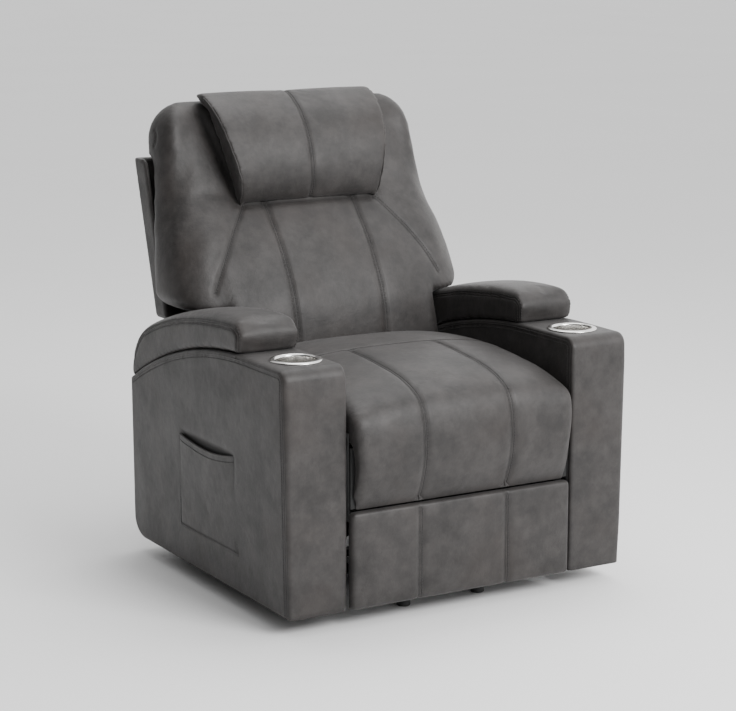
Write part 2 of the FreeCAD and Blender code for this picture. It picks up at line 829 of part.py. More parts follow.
def legArm():
    arm = bar(legArmX - barThickness, legArmX, (legPivotY, legPivotZ), legKnee(), barWidth)
    hub = barrel(0, 400, legPivotY, legPivotZ, torqueTubeRadius)
    return arm.cut([hub, barrel(0, 400, *legKnee(), pinRadius)])


def kneePin():
    """The knee's pin: fixed in the swinging arm, running in the footrest link."""
    return barrel(legLinkX - barThickness - 2, legArmX + 2, *legKnee(), pinRadius)


def legLink():
    link = bar(legLinkX - barThickness, legLinkX, legKnee(), (boardPivotY, boardPivotZ), barWidth - 2)
    knee = barrel(0, 400, *legKnee(), pinRadius + pinClearance)
    foot = barrel(0, 400, boardPivotY, boardPivotZ, pinRadius + pinClearance)
    return link.cut([knee, foot])


def footrestBracket():
    """A bracket behind the footrest board with the pin that the link turns on."""
    x0 = legBracketX - barThickness
    rearY = footrestFrontY + footrestPad + fitGap + footrestBoard
    foot = block(x0 - 22, legBracketX, rearY, rearY + 4, boardPivotZ - 70, boardPivotZ + 30)
    arm = bar(x0, legBracketX, (boardPivotY, boardPivotZ), (rearY + 14, boardPivotZ - 10), 26)
    web = block(x0, legBracketX, rearY, rearY + 16, boardPivotZ - 60, boardPivotZ + 25)
    pin = barrel(x0, legLinkX + 0.6, boardPivotY, boardPivotZ, pinRadius)
    return foot.fuse([arm.common(block(0, 400, rearY, 400, 0, 400)), web, pin]).removeSplitter()


def footrestBoardPanel():
    y0 = footrestFrontY + footrestPad + fitGap
    half = footrestHalf - 8
    return block(-half, half, y0, y0 + footrestBoard, footrestBottomZ + 12, footrestTopZ - 12)


def footrestCushion():
    y1 = footrestFrontY + footrestPad
    pad = block(-footrestHalf, footrestHalf, footrestFrontY, y1, footrestBottomZ, footrestTopZ)
    return roundEdges(pad, footrestEdgeRadius, lambda e: e.BoundBox.YMax < footrestFrontY + 0.1)


def gearMotor():
    """A worm gear motor that sits round the torque tube and hangs from the front seat cross tube."""
    x1 = gearX + gearWidth
    housing = barrel(gearX, x1, legPivotY, legPivotZ, gearRadius)
    motorX = gearX + gearWidth / 2
    motorStart = V(motorX, legPivotY + gearRadius - 8, legPivotZ - 6)
    motor = Part.makeCylinder(motorRadius, motorLength, motorStart, V(0, 1, 0))
    bore = barrel(gearX - 1, x1 + 1, legPivotY, legPivotZ, torqueTubeRadius + pinClearance)
    return housing.fuse(motor).removeSplitter().cut(bore)


def along(share):
    """A point on the actuator's line: 0 at its rear pivot, 1 at its front pivot."""
    y = actuatorRearY + (actuatorFrontY - actuatorRearY) * share
    z = actuatorRearZ + (actuatorFrontZ - actuatorRearZ) * share
    return V(actuatorX, y, z)


def actuatorAxis():
    return (along(1) - along(0)).normalize()


def actuatorLength():
    return (along(1) - along(0)).Length


def tiltMotor():
    """The linear drive's body: rear eye, tube and the motor can beside it."""
    axis = actuatorAxis()
    tube = Part.makeCylinder(actuatorTubeRadius, actuatorTubeLength, along(0) + axis * 14, axis)
    eye = barrel(actuatorX - 9, actuatorX + 9, actuatorRearY, actuatorRearZ, 16)
    gearCase = Part.makeCylinder(gearCaseRadius, gearCaseLength, along(0) + axis * 40, axis)
    canStart = along(0) + axis * (40 + gearCaseLength / 2)
    can = Part.makeCylinder(motorCanRadius, motorCanLength, canStart, V(1, 0, 0))
    bore = Part.makeCylinder(actuatorRodRadius + pinClearance, actuatorTubeLength, along(0) + axis * 60, axis)
    hole = barrel(actuatorX - 40, actuatorX + 40, actuatorRearY, actuatorRearZ, pinRadius + pinClearance)
    return tube.fuse([eye, gearCase, can]).removeSplitter().cut([bore, hole])


def tiltRod():
    axis = actuatorAxis()
    length = actuatorLength()
    start = actuatorTubeLength + 14 - actuatorStroke - 40
    rod = Part.makeCylinder(actuatorRodRadius, length - start - 10, along(0) + axis * start, axis)
    eye = barrel(actuatorX - 8, actuatorX + 8, actuatorFrontY, actuatorFrontZ, 15)
    hole = barrel(actuatorX - 40, actuatorX + 40, actuatorFrontY, actuatorFrontZ, pinRadius + looseClearance)
    return rod.fuse(eye).removeSplitter().cut(hole)


def actuatorClevis(y, z, toY, toZ):
    """Two ears and a pin for one end of the tilt drive."""
    starts = (actuatorX - clevisInside - clevisEar, actuatorX + clevisInside)
    ears = [bar(x, x + clevisEar, (y, z), (toY, toZ), 26) for x in starts]
    pin = barrel(actuatorX - 15, actuatorX + 15, y, z, pinRadius)
    return ears[0].fuse([ears[1], pin]).removeSplitter()


def rearClevis():
    """The tilt drive's rear anchor: two ears on a cross bar between the floor tubes."""
    y = actuatorRearY
    barTop = glideHeight + baseTube - 4
    reach = runnerX - baseTube / 2
    crossBar = block(-reach, reach, y - 12, y + 12, barTop - anchorBar, barTop)
    half = clevisInside + clevisEar
    saddle = block(actuatorX - half, actuatorX + half, y - 20, y + 20, barTop - 1, barTop + 9)
    ears = actuatorClevis(y, actuatorRearZ, y, barTop + 21)
    return ears.fuse([saddle, crossBar]).removeSplitter()


def frontClevis():
    """The tilt drive's front anchor: ears that reach back to the seat's front cross tube."""
    shape = actuatorClevis(actuatorFrontY, actuatorFrontZ, seatCrossFrontY - 10, tiltPivotZ)
    return shape.cut(block(-400, 400, seatCrossFrontY - 12, 400, 0, 400))


def controlBox():
    """The power and control box on the rear cross tube, with a recess for the lead's socket."""
    y0 = crossRearY - controlDepth / 2
    y1 = y0 + controlDepth
    z0 = glideHeight + baseTube + fitGap
    z1 = z0 + controlHeight
    wall = controlWall
    case = block(-controlHalfX, controlHalfX, y0, y1, z0, z1)
    case = roundEdges(case, 4.0, lambda e: e.BoundBox.ZLength > controlHeight - 1)
    hollow = block(-controlHalfX + wall, controlHalfX - wall, y0 + wall, y1 - 20, z0 + wall, z1 - wall)
    return case.cut([hollow, rearwardPin(inletRadius + inletShell, y1 - inletDepth - 5, inletDepth + 6)])


def rearSkirt():
    """The stiffened cloth panel that closes the chair's rear, sewn to the arms' inner faces."""
    half = armInnerX - fitGap
    return block(-half, half, skirtY, skirtY + skirtThickness, skirtBottomZ, skirtTopZ)


def rearwardPin(radius, y, length):
    """A round bar pointing to the rear at the power socket's place."""
    z = glideHeight + baseTube + fitGap + controlHeight / 2
    return Part.makeCylinder(radius, length, V(0, y, z), V(0, 1, 0))


def powerInlet():
    y1 = crossRearY + controlDepth / 2
    body = rearwardPin(inletRadius + inletShell - 0.2, y1 - inletDepth - 2, inletDepth + 2)
    hole = rearwardPin(inletRadius, y1 - inletDepth, inletDepth)
    tip = rearwardPin(inletPin, y1 - inletDepth - 1, inletDepth - 2)
    return body.cut(hole).fuse(tip).removeSplitter()


def savePair(name, shape):
    save(name, shape, mirrored(shape))


def saveBoth(name, shape):
    save(name + "_left", shape)
    save(name + "_right", mirrored(shape))


def buildBase():
    save("base_runner_left", runner(1))
    save("base_runner_right", runner(-1))
    save("base_cross_front", crossTube(crossFrontY))
    save("base_cross_rear", crossTube(crossRearY))
    save("floor_glides", *glides())
    saveBoth("base_side_plate", sidePlate())
    pins = [tiltPin(), linkPin()]
    save("base_pivot_pins", *pins, *[mirrored(pin) for pin in pins])
    save("actuator_anchor", rearClevis())
    save("control_box", controlBox())
    save("power_inlet", powerInlet())
    save("rear_skirt", rearSkirt())


def buildArms():
    cover = armCover()
    boards = armBoards()
    save("arm_cover_left", cover)
    save("arm_frame_left", *boards)
    cuts = [pocketRecess(), switchCavity()]
    save("arm_cover_right", mirrored(cover).cut(cuts))
    save("arm_frame_right", *[mirrored(board).cut(cuts) for board in boards])
    saveBoth("arm_pad", armPad())
    saveBoth("cup_holder", cupHolder())
    save("side_pocket", pocket())
    save("switch_panel", switchPanel())
    names = ("button_recline", "button_upright", "button_feet_up", "button_feet_down")
    for index, name in enumerate(names):
        save(name, button(index))


def buildSeat():
    saveBoth("seat_rail", seatRail())
    save("seat_cross_front", seatCross(seatCrossFrontY))
    save("seat_cross_rear", seatCross(seatCrossRearY))
    savePair("back_hinge_brackets", hingeBracket())
    savePair("back_pins", backPin())
    savePair("seat_side_boards", seatSideBoard())
    save("seat_front_board", seatFrontBoard())
    save("seat_rear_board", seatRearBoard())
    save("seat_springs", *seatSprings())
    save("seat_cushion", seatCushion())
    save("tilt_clevis", frontClevis())
    save("footrest_motor", gearMotor())


def buildBack():
    saveBoth("back_post", backPost())
    save("back_cross_lower", backCross(backCrossLowZ))
    save("back_cross_upper", backCross(backCrossHighZ))
    save("back_springs", *backSprings())
    savePair("back_link_pins", lugPin())
    save("back_cushion", backCushion())
    save("back_shell", backShell())
    save("head_pillow", pillow())
    savePair("recline_links", reclineLink())


def buildFootrest():
    save("torque_tube", torqueTube())
    saveBoth("footrest_arm", legArm())
    savePair("knee_pins", kneePin())
    saveBoth("footrest_link", legLink())
    savePair("footrest_brackets", footrestBracket())
    save("footrest_board", footrestBoardPanel())
    save("footrest_pad", footrestCushion())


def buildDrive():
    save("tilt_motor", tiltMotor())
    save("tilt_rod", tiltRod())


os.makedirs("parts", exist_ok=True)
buildBase()
buildArms()
buildSeat()
buildBack()
buildFootrest()
buildDrive()
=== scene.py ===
import json
import math
import bmesh
import bpy
from mathutils import Matrix, Vector, kdtree
from mathutils.bvhtree import BVHTree

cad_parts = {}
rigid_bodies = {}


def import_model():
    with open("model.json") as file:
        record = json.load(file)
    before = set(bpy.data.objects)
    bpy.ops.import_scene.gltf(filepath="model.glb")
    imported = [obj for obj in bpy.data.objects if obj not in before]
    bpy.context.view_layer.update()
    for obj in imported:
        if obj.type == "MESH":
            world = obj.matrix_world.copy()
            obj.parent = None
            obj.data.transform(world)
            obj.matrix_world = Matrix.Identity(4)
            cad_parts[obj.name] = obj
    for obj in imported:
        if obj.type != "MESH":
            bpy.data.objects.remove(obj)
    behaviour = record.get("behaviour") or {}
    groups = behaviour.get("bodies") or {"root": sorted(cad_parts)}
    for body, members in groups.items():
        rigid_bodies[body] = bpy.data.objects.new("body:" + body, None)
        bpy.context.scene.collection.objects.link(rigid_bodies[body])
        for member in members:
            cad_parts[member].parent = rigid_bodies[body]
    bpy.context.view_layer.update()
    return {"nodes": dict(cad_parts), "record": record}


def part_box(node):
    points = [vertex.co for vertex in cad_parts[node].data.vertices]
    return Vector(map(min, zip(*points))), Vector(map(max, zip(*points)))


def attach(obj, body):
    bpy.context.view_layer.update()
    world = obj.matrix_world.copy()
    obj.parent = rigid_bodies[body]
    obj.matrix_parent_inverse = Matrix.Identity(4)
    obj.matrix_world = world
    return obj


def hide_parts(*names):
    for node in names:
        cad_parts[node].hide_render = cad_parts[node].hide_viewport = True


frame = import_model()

# Upholstered power recliner. Sizes are in millimetres from the arms' front plane, the middle
# of the chair and the floor; at() turns them into the frame's metres.
mm = 0.001
armLow, armHigh = (Vector(corner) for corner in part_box("arm_cover_left"))


def at(x, y, z):
    return Vector((x * mm, y * mm + armLow.y, z * mm))


class Wire:
    # a socket that can be used in sums: each operator adds a Math node
    def __init__(self, tree, socket):
        self.tree = tree
        self.socket = socket

    def math(self, operation, first, second=0.0):
        node = self.tree.nodes.new("ShaderNodeMath")
        node.operation = operation
        feed(self.tree, node.inputs[0], first)
        feed(self.tree, node.inputs[1], second)
        return Wire(self.tree, node.outputs[0])

    def __add__(self, other):
        return self.math("ADD", self, other)

    __radd__ = __add__

    def __mul__(self, other):
        return self.math("MULTIPLY", self, other)

    __rmul__ = __mul__

    def __sub__(self, other):
        return self.math("SUBTRACT", self, other)


def feed(tree, socket, value):
    if isinstance(value, Wire):
        tree.links.new(value.socket, socket)
    else:
        socket.default_value = value


class Finish:
    # a material with one Principled shader and helpers that add the nodes feeding it
    def __init__(self, name):
        self.material = bpy.data.materials.new(name)
        self.material.use_nodes = True
        self.tree = self.material.node_tree
        self.shader = self.tree.nodes["Principled BSDF"]
        self.coords = self.node("TexCoord", out="Object")

    def node(self, kind, settings=None, inputs=None, out=0):
        node = self.tree.nodes.new("ShaderNode" + kind)
        for key, value in (settings or {}).items():
            if key == "stops":
                for stop, (place, level) in zip(node.color_ramp.elements, value):
                    stop.position = place
                    stop.color = (level, level, level, 1)
            else:
                setattr(node, key, value)
        for key, value in (inputs or {}).items():
            feed(self.tree, node.inputs[key], value)
        return Wire(self.tree, node.outputs[out])

    def noise(self, scale, detail=3.0, rough=0.5, vector=None):
        source = vector or self.coords
        inputs = {"Vector": source, "Scale": scale, "Detail": detail, "Roughness": rough}
        return self.node("TexNoise", None, inputs)

    def stretch(self, x, y, z):
        return self.node("Mapping", None, {"Vector": self.coords, "Scale": (x, y, z)})

    def ramp(self, source, low, high):
        return self.node("ValToRGB", {"stops": [(low, 0.0), (high, 1.0)]}, {"Fac": source})

    def mix(self, share, first, second):
        node = self.tree.nodes.new("ShaderNodeMix")
        node.data_type = "RGBA"
        feed(self.tree, node.inputs[0], share)
        feed(self.tree, node.inputs[6], first)
        feed(self.tree, node.inputs[7], second)
        return Wire(self.tree, node.outputs[2])

    def bump(self, height, strength, distance, under=None):
        inputs = {"Height": height, "Strength": strength, "Distance": distance}
        if under:
            inputs["Normal"] = under
        return self.node("Bump", None, inputs)

    def set(self, **values):
        for key, value in values.items():
            feed(self.tree, self.shader.inputs[key.replace("_", " ")], value)
        return self.material


def grey(level, warm=0.0):
    return (level * (1 + warm), level, level * (1 - warm * 0.35), 1)


leatherLook = {
    "dark": grey(0.0095, 0.12),
    "light": grey(0.037, 0.11),
    "brown": (0.028, 0.021, 0.018, 1),
    # colour of the painted shade in sunk seams and creases
    "creaseShadeTone": grey(0.003, 0.1),
    "cloudScale": 11.0,
    "grainScale": 720.0,
    "rough": 0.47,
}


def makeLeather(look):
    leather = Finish("recliner leather")
    cloud = leather.ramp(leather.noise(look["cloudScale"], 6, 0.62), 0.38, 0.63)
    patch = leather.ramp(leather.noise(34, 6, 0.66), 0.40, 0.62)
    speck = leather.noise(150, 5, 0.7)
    share = cloud * 0.38 + patch * 0.34 + speck * 0.3
    colour = leather.mix(share, look["dark"], look["light"])
    colour = leather.mix(leather.ramp(leather.noise(6.5, 4), 0.5, 0.72) * 0.35, colour, look["brown"])
    # painted shade: the crease mask written by press() and sinkPocketMouth() darkens the leather in sunk
    # seams, round the pillow and in the pocket's mouth
    creaseShade = leather.node("Attribute", {"attribute_name": "creaseShade"}, out="Fac")
    colour = leather.mix(creaseShade * 0.72, colour, look["creaseShadeTone"])
    pebble = leather.node(
        "TexVoronoi", {"feature": "SMOOTH_F1"},
        {"Vector": leather.coords, "Scale": look["grainScale"], "Smoothness": 0.6, "Randomness": 0.9})
    wrinkle = leather.noise(48, 6, 0.62)
    skin = leather.bump(pebble, 0.3, 0.0006)
    skin = leather.bump(wrinkle, 0.34, 0.003, skin)
    rough = look["rough"] + speck * 0.12 - cloud * 0.05 + creaseShade * 0.2
    leather.shader.inputs["Specular IOR Level"].default_value = 0.36
    leather.shader.inputs["Sheen Weight"].default_value = 0.06
    return leather.set(Base_Color=colour, Roughness=rough, Normal=skin)


def makeThread():
    thread = Finish("seam thread")
    twist = thread.node("TexWave", None, {"Vector": thread.coords, "Scale": 900.0, "Distortion": 2.0})
    colour = thread.mix(twist, grey(0.018, 0.04), grey(0.045, 0.05))
    return thread.set(Base_Color=colour, Roughness=0.7, Normal=thread.bump(twist, 0.4, 0.0003))


def makeCupSteel():
    steel = Finish("bright pressed steel")
    turned = steel.noise(420, 3, 0.5, steel.stretch(1, 1, 0.05))
    smudge = steel.noise(30, 4, 0.6)
    colour = steel.mix(smudge, (0.70, 0.69, 0.67, 1), (0.83, 0.82, 0.80, 1))
    rough = 0.13 + smudge * 0.1 + turned * 0.05
    fine = steel.bump(turned, 0.04, 0.0004)
    return steel.set(Base_Color=colour, Metallic=1.0, Roughness=rough, Normal=fine)


def makeCoat():
    coat = Finish("black powder coat")
    peel = coat.noise(900, 2, 0.5)
    wear = coat.ramp(coat.noise(28, 5, 0.7), 0.62, 0.8)
    colour = coat.mix(wear * 0.35, grey(0.014), grey(0.06, 0.05))
    return coat.set(Base_Color=colour, Roughness=0.42 + peel * 0.16, Normal=coat.bump(peel, 0.25, 0.0004))


def makeZinc():
    zinc = Finish("zinc plate")
    flake = zinc.node("TexVoronoi", None, {"Vector": zinc.coords, "Scale": 130.0})
    drawn = zinc.noise(300, 3, 0.6, zinc.stretch(0.2, 1, 1))
    colour = zinc.mix(flake, (0.42, 0.42, 0.41, 1), (0.62, 0.61, 0.58, 1))
    return zinc.set(Base_Color=colour, Metallic=0.95, Roughness=0.3 + drawn * 0.2)


def makePlastic(name, level, rough):
    plastic = Finish(name)
    spark = plastic.noise(1300, 2, 0.5)
    haze = plastic.noise(22, 3, 0.6)
    colour = plastic.mix(haze, grey(level * 0.8), grey(level * 1.5, 0.02))
    fine = plastic.bump(spark, 0.3, 0.0003)
    return plastic.set(Base_Color=colour, Roughness=rough + spark * 0.15, Normal=fine)


def makePlywood():
    wood = Finish("stained plywood")
    rings = wood.node(
        "TexWave", {"wave_type": "BANDS", "bands_direction": "Z"},
        {"Vector": wood.stretch(1, 0.3, 1), "Scale": 9.0, "Distortion": 7.0, "Detail": 3.0})
    pores = wood.noise(240, 3, 0.6, wood.stretch(1, 0.08, 1))
    colour = wood.mix(rings * 0.6 + pores * 0.4, (0.016, 0.012, 0.009, 1), (0.034, 0.025, 0.018, 1))
    return wood.set(Base_Color=colour, Roughness=0.62 + pores * 0.15, Normal=wood.bump(pores, 0.3, 0.0006))


def makeDarkCloth():
    cloth = Finish("black lining cloth")
    weave = cloth.node(
        "TexWave", {"wave_type": "BANDS", "bands_direction": "Z"}, {"Vector": cloth.coords, "Scale": 420.0})
    fluff = cloth.noise(260, 4, 0.7)
    colour = cloth.mix(fluff, grey(0.006), grey(0.016))
    return cloth.set(Base_Color=colour, Roughness=0.85 + weave * 0.1, Normal=cloth.bump(weave, 0.3, 0.0004))


leather = makeLeather(leatherLook)
thread = makeThread()
darkCloth = makeDarkCloth()
finishOfSlot = {
    "leather": leather,
    "steel_bright": makeCupSteel(),
    "black_steel": makeCoat(),
    "zinc_steel": makeZinc(),
    "black_plastic": makePlastic("black moulded plastic", 0.020, 0.42),
    "glide_plastic": makePlastic("glide plastic", 0.012, 0.5),
    "wood_board": makePlywood(),
}
print("finishes made")


def show(name, mesh, material, body):
    piece = bpy.data.objects.new(name, mesh)
    bpy.context.collection.objects.link(piece)
    mesh.materials.clear()
    mesh.materials.append(material)
    mesh.shade_smooth()
    piece["rides"] = body
    return piece


def toMesh(bm, name):
    mesh = bpy.data.meshes.new(name)
    bm.to_mesh(mesh)
    bm.free()
    return mesh


def bake(piece):
    # live modifiers become the mesh
    bpy.context.view_layer.update()
    shaped = bpy.data.meshes.new_from_object(piece.evaluated_get(bpy.context.evaluated_depsgraph_get()))
    piece.modifiers.clear()
    piece.data = shaped


def softBlank(name, node, body, voxel, rounds):
    # starts a padded piece as a merged, evenly meshed and rounded copy of its plain solid
    bm = bmesh.new()
    bm.from_mesh(frame["nodes"][node].data)
    bmesh.ops.remove_doubles(bm, verts=bm.verts, dist=1e-5)
    piece = show(name, toMesh(bm, name), leather, body)
    remesh = piece.modifiers.new("even", "REMESH")
    remesh.mode = "VOXEL"
    remesh.voxel_size = voxel * mm
    bake(piece)
    relax = piece.modifiers.new("relax", "SMOOTH")
    relax.factor = 0.5
    relax.iterations = rounds
    bake(piece)
    return piece


def shape(piece, move):
    # move(point, normal) gives the vertex's new place
    places = [move(vertex.co.copy(), vertex.normal.copy()) for vertex in piece.data.vertices]
    for vertex, place in zip(piece.data.vertices, places):
        vertex.co = place
    piece.data.update()


def puff(piece, held, pressure, cap):
    # inflates the cover over its stuffing; held(point) is 1 where it is sewn or tied down
    before = [vertex.co.copy() for vertex in piece.data.vertices]
    group = piece.vertex_groups.new(name="sewn")
    for index, point in enumerate(before):
        group.add([index], max(0.0, min(1.0, held(point))), "REPLACE")
    cloth = piece.modifiers.new("cover", "CLOTH")
    cloth.settings.quality = 4
    cloth.settings.mass = 0.3
    cloth.settings.tension_stiffness = 18
    cloth.settings.compression_stiffness = 18
    cloth.settings.shear_stiffness = 8
    cloth.settings.bending_stiffness = 1.5
    cloth.settings.use_pressure = True
    cloth.settings.uniform_pressure_force = pressure
    cloth.settings.vertex_group_mass = "sewn"
    cloth.settings.effector_weights.gravity = 0
    cloth.point_cache.frame_start = 1
    cloth.point_cache.frame_end = 20
    for step in range(1, 21):
        bpy.context.scene.frame_set(step)
    bake(piece)
    for vertex, start in zip(piece.data.vertices, before):
        moved = vertex.co - start
        if moved.length > cap * mm:
            vertex.co = start + moved.normalized() * cap * mm
    bpy.context.scene.frame_set(1)
    fine = piece.modifiers.new("fine", "SUBSURF")
    fine.levels = 1
    fine.render_levels = 1
    bake(piece)


def calm(piece, inside, rounds):
    # takes the small wrinkles out of one region
    bm = bmesh.new()
    bm.from_mesh(piece.data)
    chosen = [vertex for vertex in bm.verts if inside(vertex.co)]
    for step in range(rounds):
        bmesh.ops.smooth_vert(bm, verts=chosen, factor=0.5, use_axis_x=True, use_axis_y=True, use_axis_z=True)
    bm.to_mesh(piece.data)
    bm.free()


def treeOf(piece):
    mesh = piece.data
    corners = [vertex.co for vertex in mesh.vertices]
    return BVHTree.FromPolygons(corners, [face.vertices for face in mesh.polygons])


def trace(piece, *lines):
    # for each line of rays (start, aim): where they first meet the piece, with the normals there
    tree = treeOf(piece)
    found = []
    for rays in lines:
        hits = [tree.ray_cast(start, aim) for start, aim in rays]
        found.append([(hit[0], hit[1]) for hit in hits if hit[0] is not None])
    return found


def cling(piece, *lines):
    # for each line of points: the nearest places on the piece, evened out along the line
    tree = treeOf(piece)
    found = []
    for points in lines:
        path = [tree.find_nearest(point)[:2] for point in points]
        for turn in range(3):
            threes = zip(path, path[1:], path[2:])
            middle = [(before[0] + here[0] * 2 + after[0]) / 4 for before, here, after in threes]
            path = [path[0]] + [tree.find_nearest(point)[:2] for point in middle] + [path[-1]]
        found.append(path)
    return found


def press(piece, paths, width, depth, dark=0.8):
    # sinks the surface along sewn lines and paints shade into the groove: the crease mask darkens the leather
    # colour there
    points = [point for path in paths for point, normal in path]
    tree = kdtree.KDTree(len(points))
    for index, point in enumerate(points):
        tree.insert(point, index)
    tree.balance()
    mesh = piece.data
    creaseShade = mesh.attributes.get("creaseShade") or mesh.attributes.new("creaseShade", "FLOAT", "POINT")
    sunk = []
    for vertex in mesh.vertices:
        near = tree.find(vertex.co)[2] / (width * mm)
        if near < 3:
            place = vertex.co - vertex.normal * math.exp(-near * near) * depth * mm
            sunk.append((vertex.index, place, dark * math.exp(-(near * 2.6) ** 2)))
    for index, place, mark in sunk:
        mesh.vertices[index].co = place
        creaseShade.data[index].value = max(creaseShade.data[index].value, mark)
    mesh.update()


def tube(name, path, radius, sink, body):
    # a round bead along a traced path, sunk into the surface
    curve = bpy.data.curves.new(name, "CURVE")
    curve.dimensions = "3D"
    curve.bevel_depth = radius * mm
    curve.bevel_resolution = 2
    curve.use_fill_caps = True
    spline = curve.splines.new("POLY")
    spline.points.add(len(path) - 1)
    for dot, (point, normal) in zip(spline.points, path):
        dot.co = (*(point - normal * sink * mm), 1)
    holder = bpy.data.objects.new(name, curve)
    mesh = bpy.data.meshes.new_from_object(holder)
    bpy.data.objects.remove(holder)
    return show(name, mesh, leather, body)


def evenly(path, step):
    # walks a path and gives (point, normal, direction) every `step` millimetres
    out = []
    left = 0.0
    for (a, normal), (b, other) in zip(path, path[1:]):
        run = b - a
        length = run.length
        if length < 1e-7:
            continue
        while left < length:
            out.append((a + run * (left / length), normal, run / length))
            left += step * mm
        left -= length
    return out


stitchLook = {"pitch": 6.5, "length": 4.4, "width": 1.3, "height": 0.9}


def sew(name, paths, body, asides=(-4.5, 4.5), look=stitchLook):
    # rows of thread dashes along each seam, `asides` millimetres beside it
    signs = [(a, b, c) for a in (-0.5, 0.5) for b in (-0.5, 0.5) for c in (-0.5, 0.5)]
    sides = [(0, 1, 3, 2), (4, 6, 7, 5), (0, 4, 5, 1), (2, 3, 7, 6), (0, 2, 6, 4), (1, 5, 7, 3)]
    corners = []
    faces = []
    for path in paths:
        for point, normal, along in evenly(path, look["pitch"]):
            across = normal.cross(along).normalized()
            for aside in asides:
                middle = point + across * aside * mm
                first = len(corners)
                for a, b, c in signs:
                    offset = along * a * look["length"] + across * b * look["width"]
                    offset += normal * c * look["height"]
                    corners.append(middle + offset * mm)
                faces += [tuple(first + index for index in face) for face in sides]
    mesh = bpy.data.meshes.new(name)
    mesh.from_pydata(corners, [], faces)
    return show(name, mesh, thread, body)


def settle(piece, solid, lift=0.3):
    # drops a trim piece's parts onto the surface they were laid beside
    tree = treeOf(solid)
    chunk = 8
    verts = piece.data.vertices
    for first in range(0, len(verts), chunk):
        part = verts[first:first + chunk]
        centre = sum((vertex.co for vertex in part), Vector()) / chunk
        found, normal, index, distance = tree.find_nearest(centre)
        if found is not None:
            shift = found + normal * lift * mm - centre
            for vertex in part:
                vertex.co += shift
    piece.data.update()


def chair(point):
    # the reverse of at()
    return point.x / mm, (point.y - armLow.y) / mm, point.z / mm


def ramp01(value, low, high):
    share = max(0.0, min(1.0, (value - low) / (high - low)))
    return share * share * (3 - 2 * share)


def fold(value):
    # slow, repeatable waviness for leather that isn't perfectly flat
    return math.sin(value * 1.7) * 0.6 + math.sin(value * 4.1 + 1.3) * 0.3 + math.sin(value * 9.7 + 0.4) * 0.1


seatLook = {
    "seamX": 112.0,
    "crossSeamY": 300.0,
    "voxel": 8.0,
    "cap": 16.0,
    "seamWidth": 9.0,
    "seamDepth": 4.2,
    "pressure": 4.5,
}


def seatRays(x):
    middle = at(x, 200, 400)
    rays = []
    for step in range(190):
        angle = math.radians(-34 + 158 * step / 189)
        aim = Vector((0, -math.cos(angle), math.sin(angle)))
        rays.append((middle + aim * 0.6, -aim))
    return rays


def makeSeat(look):
    seat = softBlank("seatCushion", "seat_cushion", "seat", look["voxel"], 10)

    def form(point, normal):
        x, y, z = chair(point)
        share = abs(x) / 282
        point.z -= 26 * mm * share ** 3 * ramp01(z, 430, 520)        # crowned top
        point.x -= math.copysign(5 * mm, x) * ramp01(share, 0.6, 1) * ramp01(z, 470, 530)
        front = 1 - ramp01(y, -10, 70)
        waist = math.exp(-((z - 350) / 62) ** 2) * front * ramp01(share, 0.75, 1)
        point.x -= math.copysign(8 * mm * waist, x)                  # sides pull in above the lip
        point.z -= 5 * mm * (1 - ramp01(z, 262, 300)) * front        # the lip closes on the footrest
        return point

    shape(seat, form)

    def held(point):
        x, y, z = chair(point)
        seam = 1.0 if abs(abs(x) - look["seamX"]) < 6 and z > 255 and y < look["crossSeamY"] else 0.0
        under = 1.0 if (z < 425 and y > 12) or z < 272 or y > 488 else 0.0
        cross = 0.7 if abs(y - look["crossSeamY"]) < 6 and z > 500 else 0.0
        sides = 0.8 if abs(x) > 268 and z < 480 else 0.0
        return max(seam, under, cross, sides)

    puff(seat, held, look["pressure"], look["cap"])
    rays = [seatRays(side * look["seamX"]) for side in (-1, 1)]
    crossRays = [(at(x, look["crossSeamY"], 700), Vector((0, 0, -1))) for x in range(-264, 265, 4)]
    left, right, cross = trace(seat, *rays, crossRays)
    press(seat, [left, right], look["seamWidth"], look["seamDepth"])
    press(seat, [cross], 7, 2.4)
    left, right, cross = trace(seat, *rays, crossRays)
    for index, path in enumerate((left, right)):
        tube(f"seatSeam{index + 1}", path, 1.9, 0.9, "seat")
    tube("seatCrossSeam", cross, 1.5, 0.8, "seat")
    settle(sew("seatStitches", [left, right], "seat"), seat)
    settle(sew("seatCrossStitches", [cross], "seat", (5.0,)), seat)
    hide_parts("seat_cushion")


def makeSeatSides():
    # black lining cloth over the outside of the seat's box, and over its front; it covers bare boards and is
    # made this black partly as painted shade for the gap between seat and arms
    for side in (1, -1):
        bm = bmesh.new()
        bmesh.ops.create_cube(bm, size=1.0)
        low, high = at(0, 3, 236), at(0, 492, 430)
        for vertex in bm.verts:
            y = low.y if vertex.co.y < 0 else high.y
            z = low.z if vertex.co.z < 0 else high.z
            vertex.co = Vector((side * (0.2836 + vertex.co.x * 0.0012), y, z))
        ending = "Left" if side > 0 else "Right"
        show("seatSideCloth" + ending, toMesh(bm, "seatSideCloth"), darkCloth, "seat")


makeSeat(seatLook)
makeSeatSides()
print("seat made")


footrestLook = {"seamX": 112.0, "voxel": 6.0, "cap": 10.0, "pressure": 3.5, "widen": 1.028}


